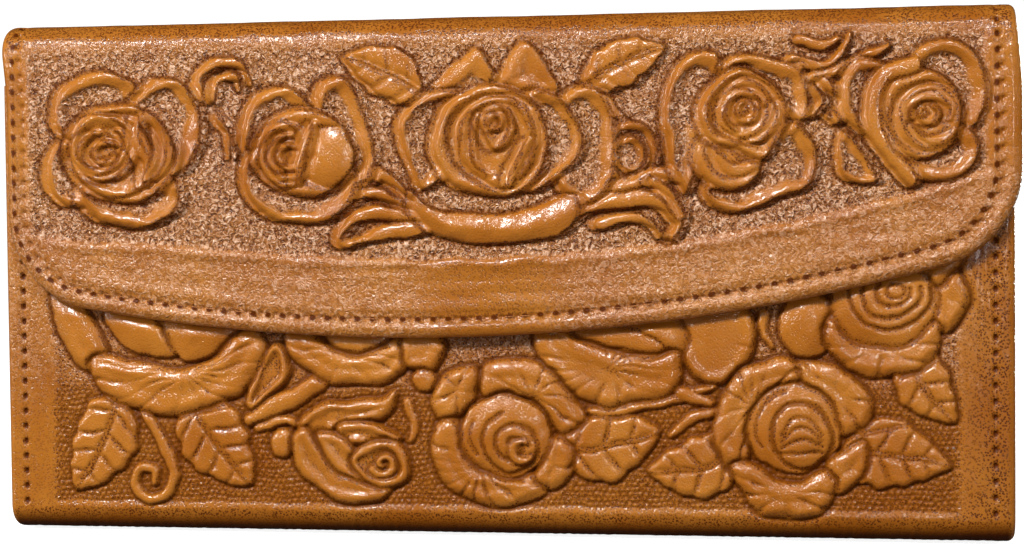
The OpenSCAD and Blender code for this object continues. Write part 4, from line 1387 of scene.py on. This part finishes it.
# The CAD pieces that stay in view, and what they are made of
METAL_NODES = {
    "brass": ["stud_cap", "stud_socket", "stud_ball", "stud_rivet", "zip_teeth_front", "zip_teeth_back",
              "zip_stops", "zip_slider"],
    "steel": ["zip_pull"],
}


def coat(obj, slot):
    obj.data.materials.clear()
    obj.data.materials.append(MATERIALS[slot])


def dress(obj, slot):
    """Gives a new piece its material."""
    coat(obj, slot)


def paint_metal():
    for slot, names in METAL_NODES.items():
        for name in names:
            coat(NODES[name], slot)


# ---------- stage, light and camera ----------

def make_stage():
    mesh = bpy.data.meshes.new("floor")
    w, near, far, r = 4.0, -2.5, 1.1, 0.5
    profile = [(near, 0.0), (far, 0.0)]
    profile += [(far + r * math.sin(a), r - r * math.cos(a)) for a in np.linspace(0, QUARTER, 12)[1:]]
    profile.append((far + r, 3.0))
    floor_z = -0.0006
    verts = [(x, y, z + floor_z) for y, z in profile for x in (-w, w)]
    faces = [(2 * i, 2 * i + 1, 2 * i + 3, 2 * i + 2) for i in range(len(profile) - 1)]
    mesh.from_pydata(verts, [], faces)
    floor = bpy.data.objects.new("floor", mesh)
    bpy.context.scene.collection.objects.link(floor)
    n = Nodes("floor")
    pale = n.mix(n.noise(30, 2), (0.86, 0.86, 0.86, 1), (0.9, 0.9, 0.9, 1))
    n.finish(pale, 0.9, Emission_Color=(1, 1, 1, 1), Emission_Strength=0.9)
    # Only the camera sees the floor as white, so it doesn't wash out the underside of the relief
    dim = n.add("ShaderNodeBsdfDiffuse", Color=(0.1, 0.09, 0.08, 1))
    choose = n.add("ShaderNodeMixShader")
    links = n.tree.links
    links.new(n.add("ShaderNodeLightPath").outputs["Is Camera Ray"], choose.inputs[0])
    links.new(dim.outputs[0], choose.inputs[1])
    links.new(n.shader.outputs[0], choose.inputs[2])
    links.new(choose.outputs[0], n.tree.nodes["Material Output"].inputs["Surface"])
    mesh.materials.append(n.material)


def area_light(name, place, target, size, power):
    data = bpy.data.lights.new(name, "AREA")
    data.shape = "RECTANGLE"
    data.size, data.size_y = size
    data.energy = power
    light = bpy.data.objects.new(name, data)
    light.location = place
    light.rotation_mode = "QUATERNION"
    light.rotation_quaternion = (Vector(target) - Vector(place)).to_track_quat("-Z", "Y")
    bpy.context.scene.collection.objects.link(light)


def make_lights():
    middle = (0, 0, 0.05)
    area_light("key", (-0.34, -0.8, 0.7), middle, (0.2, 0.15), 9.0)
    area_light("left_soft", (-0.85, -0.5, 0.3), middle, (0.2, 0.2), 2.8)
    area_light("right_soft", (0.85, -0.5, 0.5), middle, (0.2, 0.2), 1.2)
    area_light("glint", (0.2, -0.7, 0.8), middle, (0.1, 0.1), 2.6)
    area_light("sheen", (0.2, -0.85, 0.12), (0.08, 0, 0.07), (0.06, 0.06), 0.8)
    area_light("back_soft", (0.7, 0.9, 0.16), middle, (0.5, 0.2), 7)
    world = bpy.data.worlds.new("room")
    world.use_nodes = True
    # Only the camera sees the room as white
    nodes, links = world.node_tree.nodes, world.node_tree.links
    strength = nodes.new("ShaderNodeMapRange")
    strength.inputs["To Min"].default_value = 0.09
    strength.inputs["To Max"].default_value = 1.0
    links.new(nodes.new("ShaderNodeLightPath").outputs["Is Camera Ray"], strength.inputs["Value"])
    links.new(strength.outputs["Result"], nodes["Background"].inputs["Strength"])
    nodes["Background"].inputs["Color"].default_value = (1, 1, 1, 1)
    bpy.context.scene.world = world
    bpy.context.scene.view_settings.view_transform = "Standard"


def make_camera():
    """Looks at the front from a little to the right of it and slightly above."""
    azimuth, elevation, roll = (math.radians(a) for a in (8.98, 2.13, -0.57))
    target = Vector((4.41, -9.0, 52.94)) * MM
    distance = 0.4
    back = Vector((math.sin(azimuth) * math.cos(elevation), -math.cos(azimuth) * math.cos(elevation),
                   math.sin(elevation)))
    right = Vector((math.cos(azimuth), math.sin(azimuth), 0))
    up = back.cross(right)
    right, up = (right * math.cos(roll) + up * math.sin(roll), up * math.cos(roll) - right * math.sin(roll))
    data = bpy.data.cameras.new("camera")
    data.lens, data.sensor_width = 70.8, 36
    data.clip_start, data.clip_end = 0.01, 20
    camera = bpy.data.objects.new("camera", data)
    rows = [(right[i], up[i], back[i], target[i] + back[i] * distance) for i in range(3)]
    camera.matrix_world = Matrix(rows + [(0, 0, 0, 1)])
    bpy.context.scene.collection.objects.link(camera)
    bpy.context.scene.camera = camera


def across_fold(obj, which, slot, *nodes):
    """Places a piece that lies across a crease, in the stead of the CAD nodes."""
    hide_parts(*nodes)
    dress(obj, slot)
    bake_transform(obj)


def add(obj, body, slot, *nodes):
    """Places a piece that moves with one body, in the stead of the CAD nodes."""
    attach(obj, body)
    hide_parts(*nodes)
    dress(obj, slot)


def outer_leather():
    step = 0.32
    flap = Skin("flap", flap_relief(), flap_shift)
    front = Skin("front", front_relief())
    back = Skin("back", back_relief(), back_shift)
    for skin, sheet, seam_points, covers, sewn in (
            (flap, flap_sheet(flap, step), flap_seam_points(), ["flap_cover"], ["flap_stitching"]),
            (front, front_sheet(front, step), front_seam_points(), ["front_cover"], ["front_stitching"]),
            (back, back_sheet(back, BACK_STEP), back_seam_points(), ["back_cover", "top_strip"],
             ["back_stitching", "top_stitching"])):
        across_fold(sheet, skin.which, "tooled_leather", *covers)
        thread = skin.thread(skin.which + "_thread", seam_points)
        across_fold(thread, skin.which, "thread", *sewn)


def linings():
    for which, nodes in (("front", ["front_lining"]), ("back", ["back_lining", "top_lining"]),
                         ("flap", ["flap_lining"])):
        across_fold(lining_sheet(which + "_lining_suede", which), which, "lining", *nodes)


def boards():
    half, low = HALF_W - 5, 8
    inner = LEATHER_T + 0.03
    thick = CORE_T - 0.06
    front = slab("front_board_core", (-half, Y_FRONT + inner, low), (half, Y_FRONT + inner + thick, 89))
    add(front, "front", "board", "front_board")
    back = slab("back_board_core", (-half, Y_BACK - inner - thick, low), (half, Y_BACK - inner, 95))
    add(back, "back", "board", "back_board")
    add(flap_pad(), "flap", "board", "flap_pad")


# Card pockets: how many, top of the hindmost, how much lower each next one is, spacing and thickness
CARD_COUNT, CARD_TOP, CARD_STEP, CARD_PITCH, CARD_T = 4, 70, 12, 0.7, 0.6


def pockets():
    half, low = 89.5, 6
    face = Y_BACK - WALL_T - 0.65
    ways = []
    for k in range(CARD_COUNT):
        y, top = face - k * CARD_PITCH, CARD_TOP - CARD_STEP * k
        card = pocket_panel(f"card_pocket_leather_{k + 1}", (-half, y, low), (half, y + CARD_T, top), k)
        add(card, "back", "pocket_leather", f"card_pocket_{k + 1}")
        # The seam between the two columns shows on each pocket above the next one
        seam_low = low + 1 if k == CARD_COUNT - 1 else top - CARD_STEP + 0.6
        ways.append(((0, y - 0.02, seam_low), (0, y - 0.02, top - 0.8)))
    add(line_stitches("card_thread", ways), "back", "thread", "card_stitching")
    y = Y_FRONT + WALL_T
    slip = pocket_panel("slip_pocket_leather", (-half, y, low), (half, y + 0.7, 66), 9)
    add(slip, "front", "pocket_leather", "slip_pocket")


def coin_purse():
    add(coin_pocket(), "divider", "pocket_leather", "coin_pocket")
    sides = [slab_grids((s * 81.3 - 0.5, COIN_Y - 1.7, 6.9), (s * 81.3 + 0.5, COIN_Y + 1.7, 71.2), 1.0,
                        lambda a, b: 0.0 * a) for s in (-1, 1)]
    add(joined("coin_pocket_ends", sides), "divider", "pocket_leather", "coin_pocket_sides")
    y = COIN_Y - COIN_T / 2 - 0.05
    ways = [((-76.8, y, 71), (76.8, y, 71))]
    ways += [((s * 78.8, y, 9), (s * 78.8, y, 69)) for s in (-1, 1)]
    add(line_stitches("coin_thread", ways), "divider", "thread", "coin_stitching")
    add(zip_tape(), "divider", "tape", "zip_tapes")


def gussets():
    for side, word in ((-1, "left"), (1, "right")):
        piece = gusset(f"gusset_{word}", side)
        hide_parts(f"gusset_{word}_back", f"gusset_{word}_front")
        dress(piece, "gusset_leather")
        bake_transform(piece)


paint_metal()
outer_leather()
linings()
boards()
pockets()
coin_purse()
gussets()
make_stage()
make_lights()
make_camera()
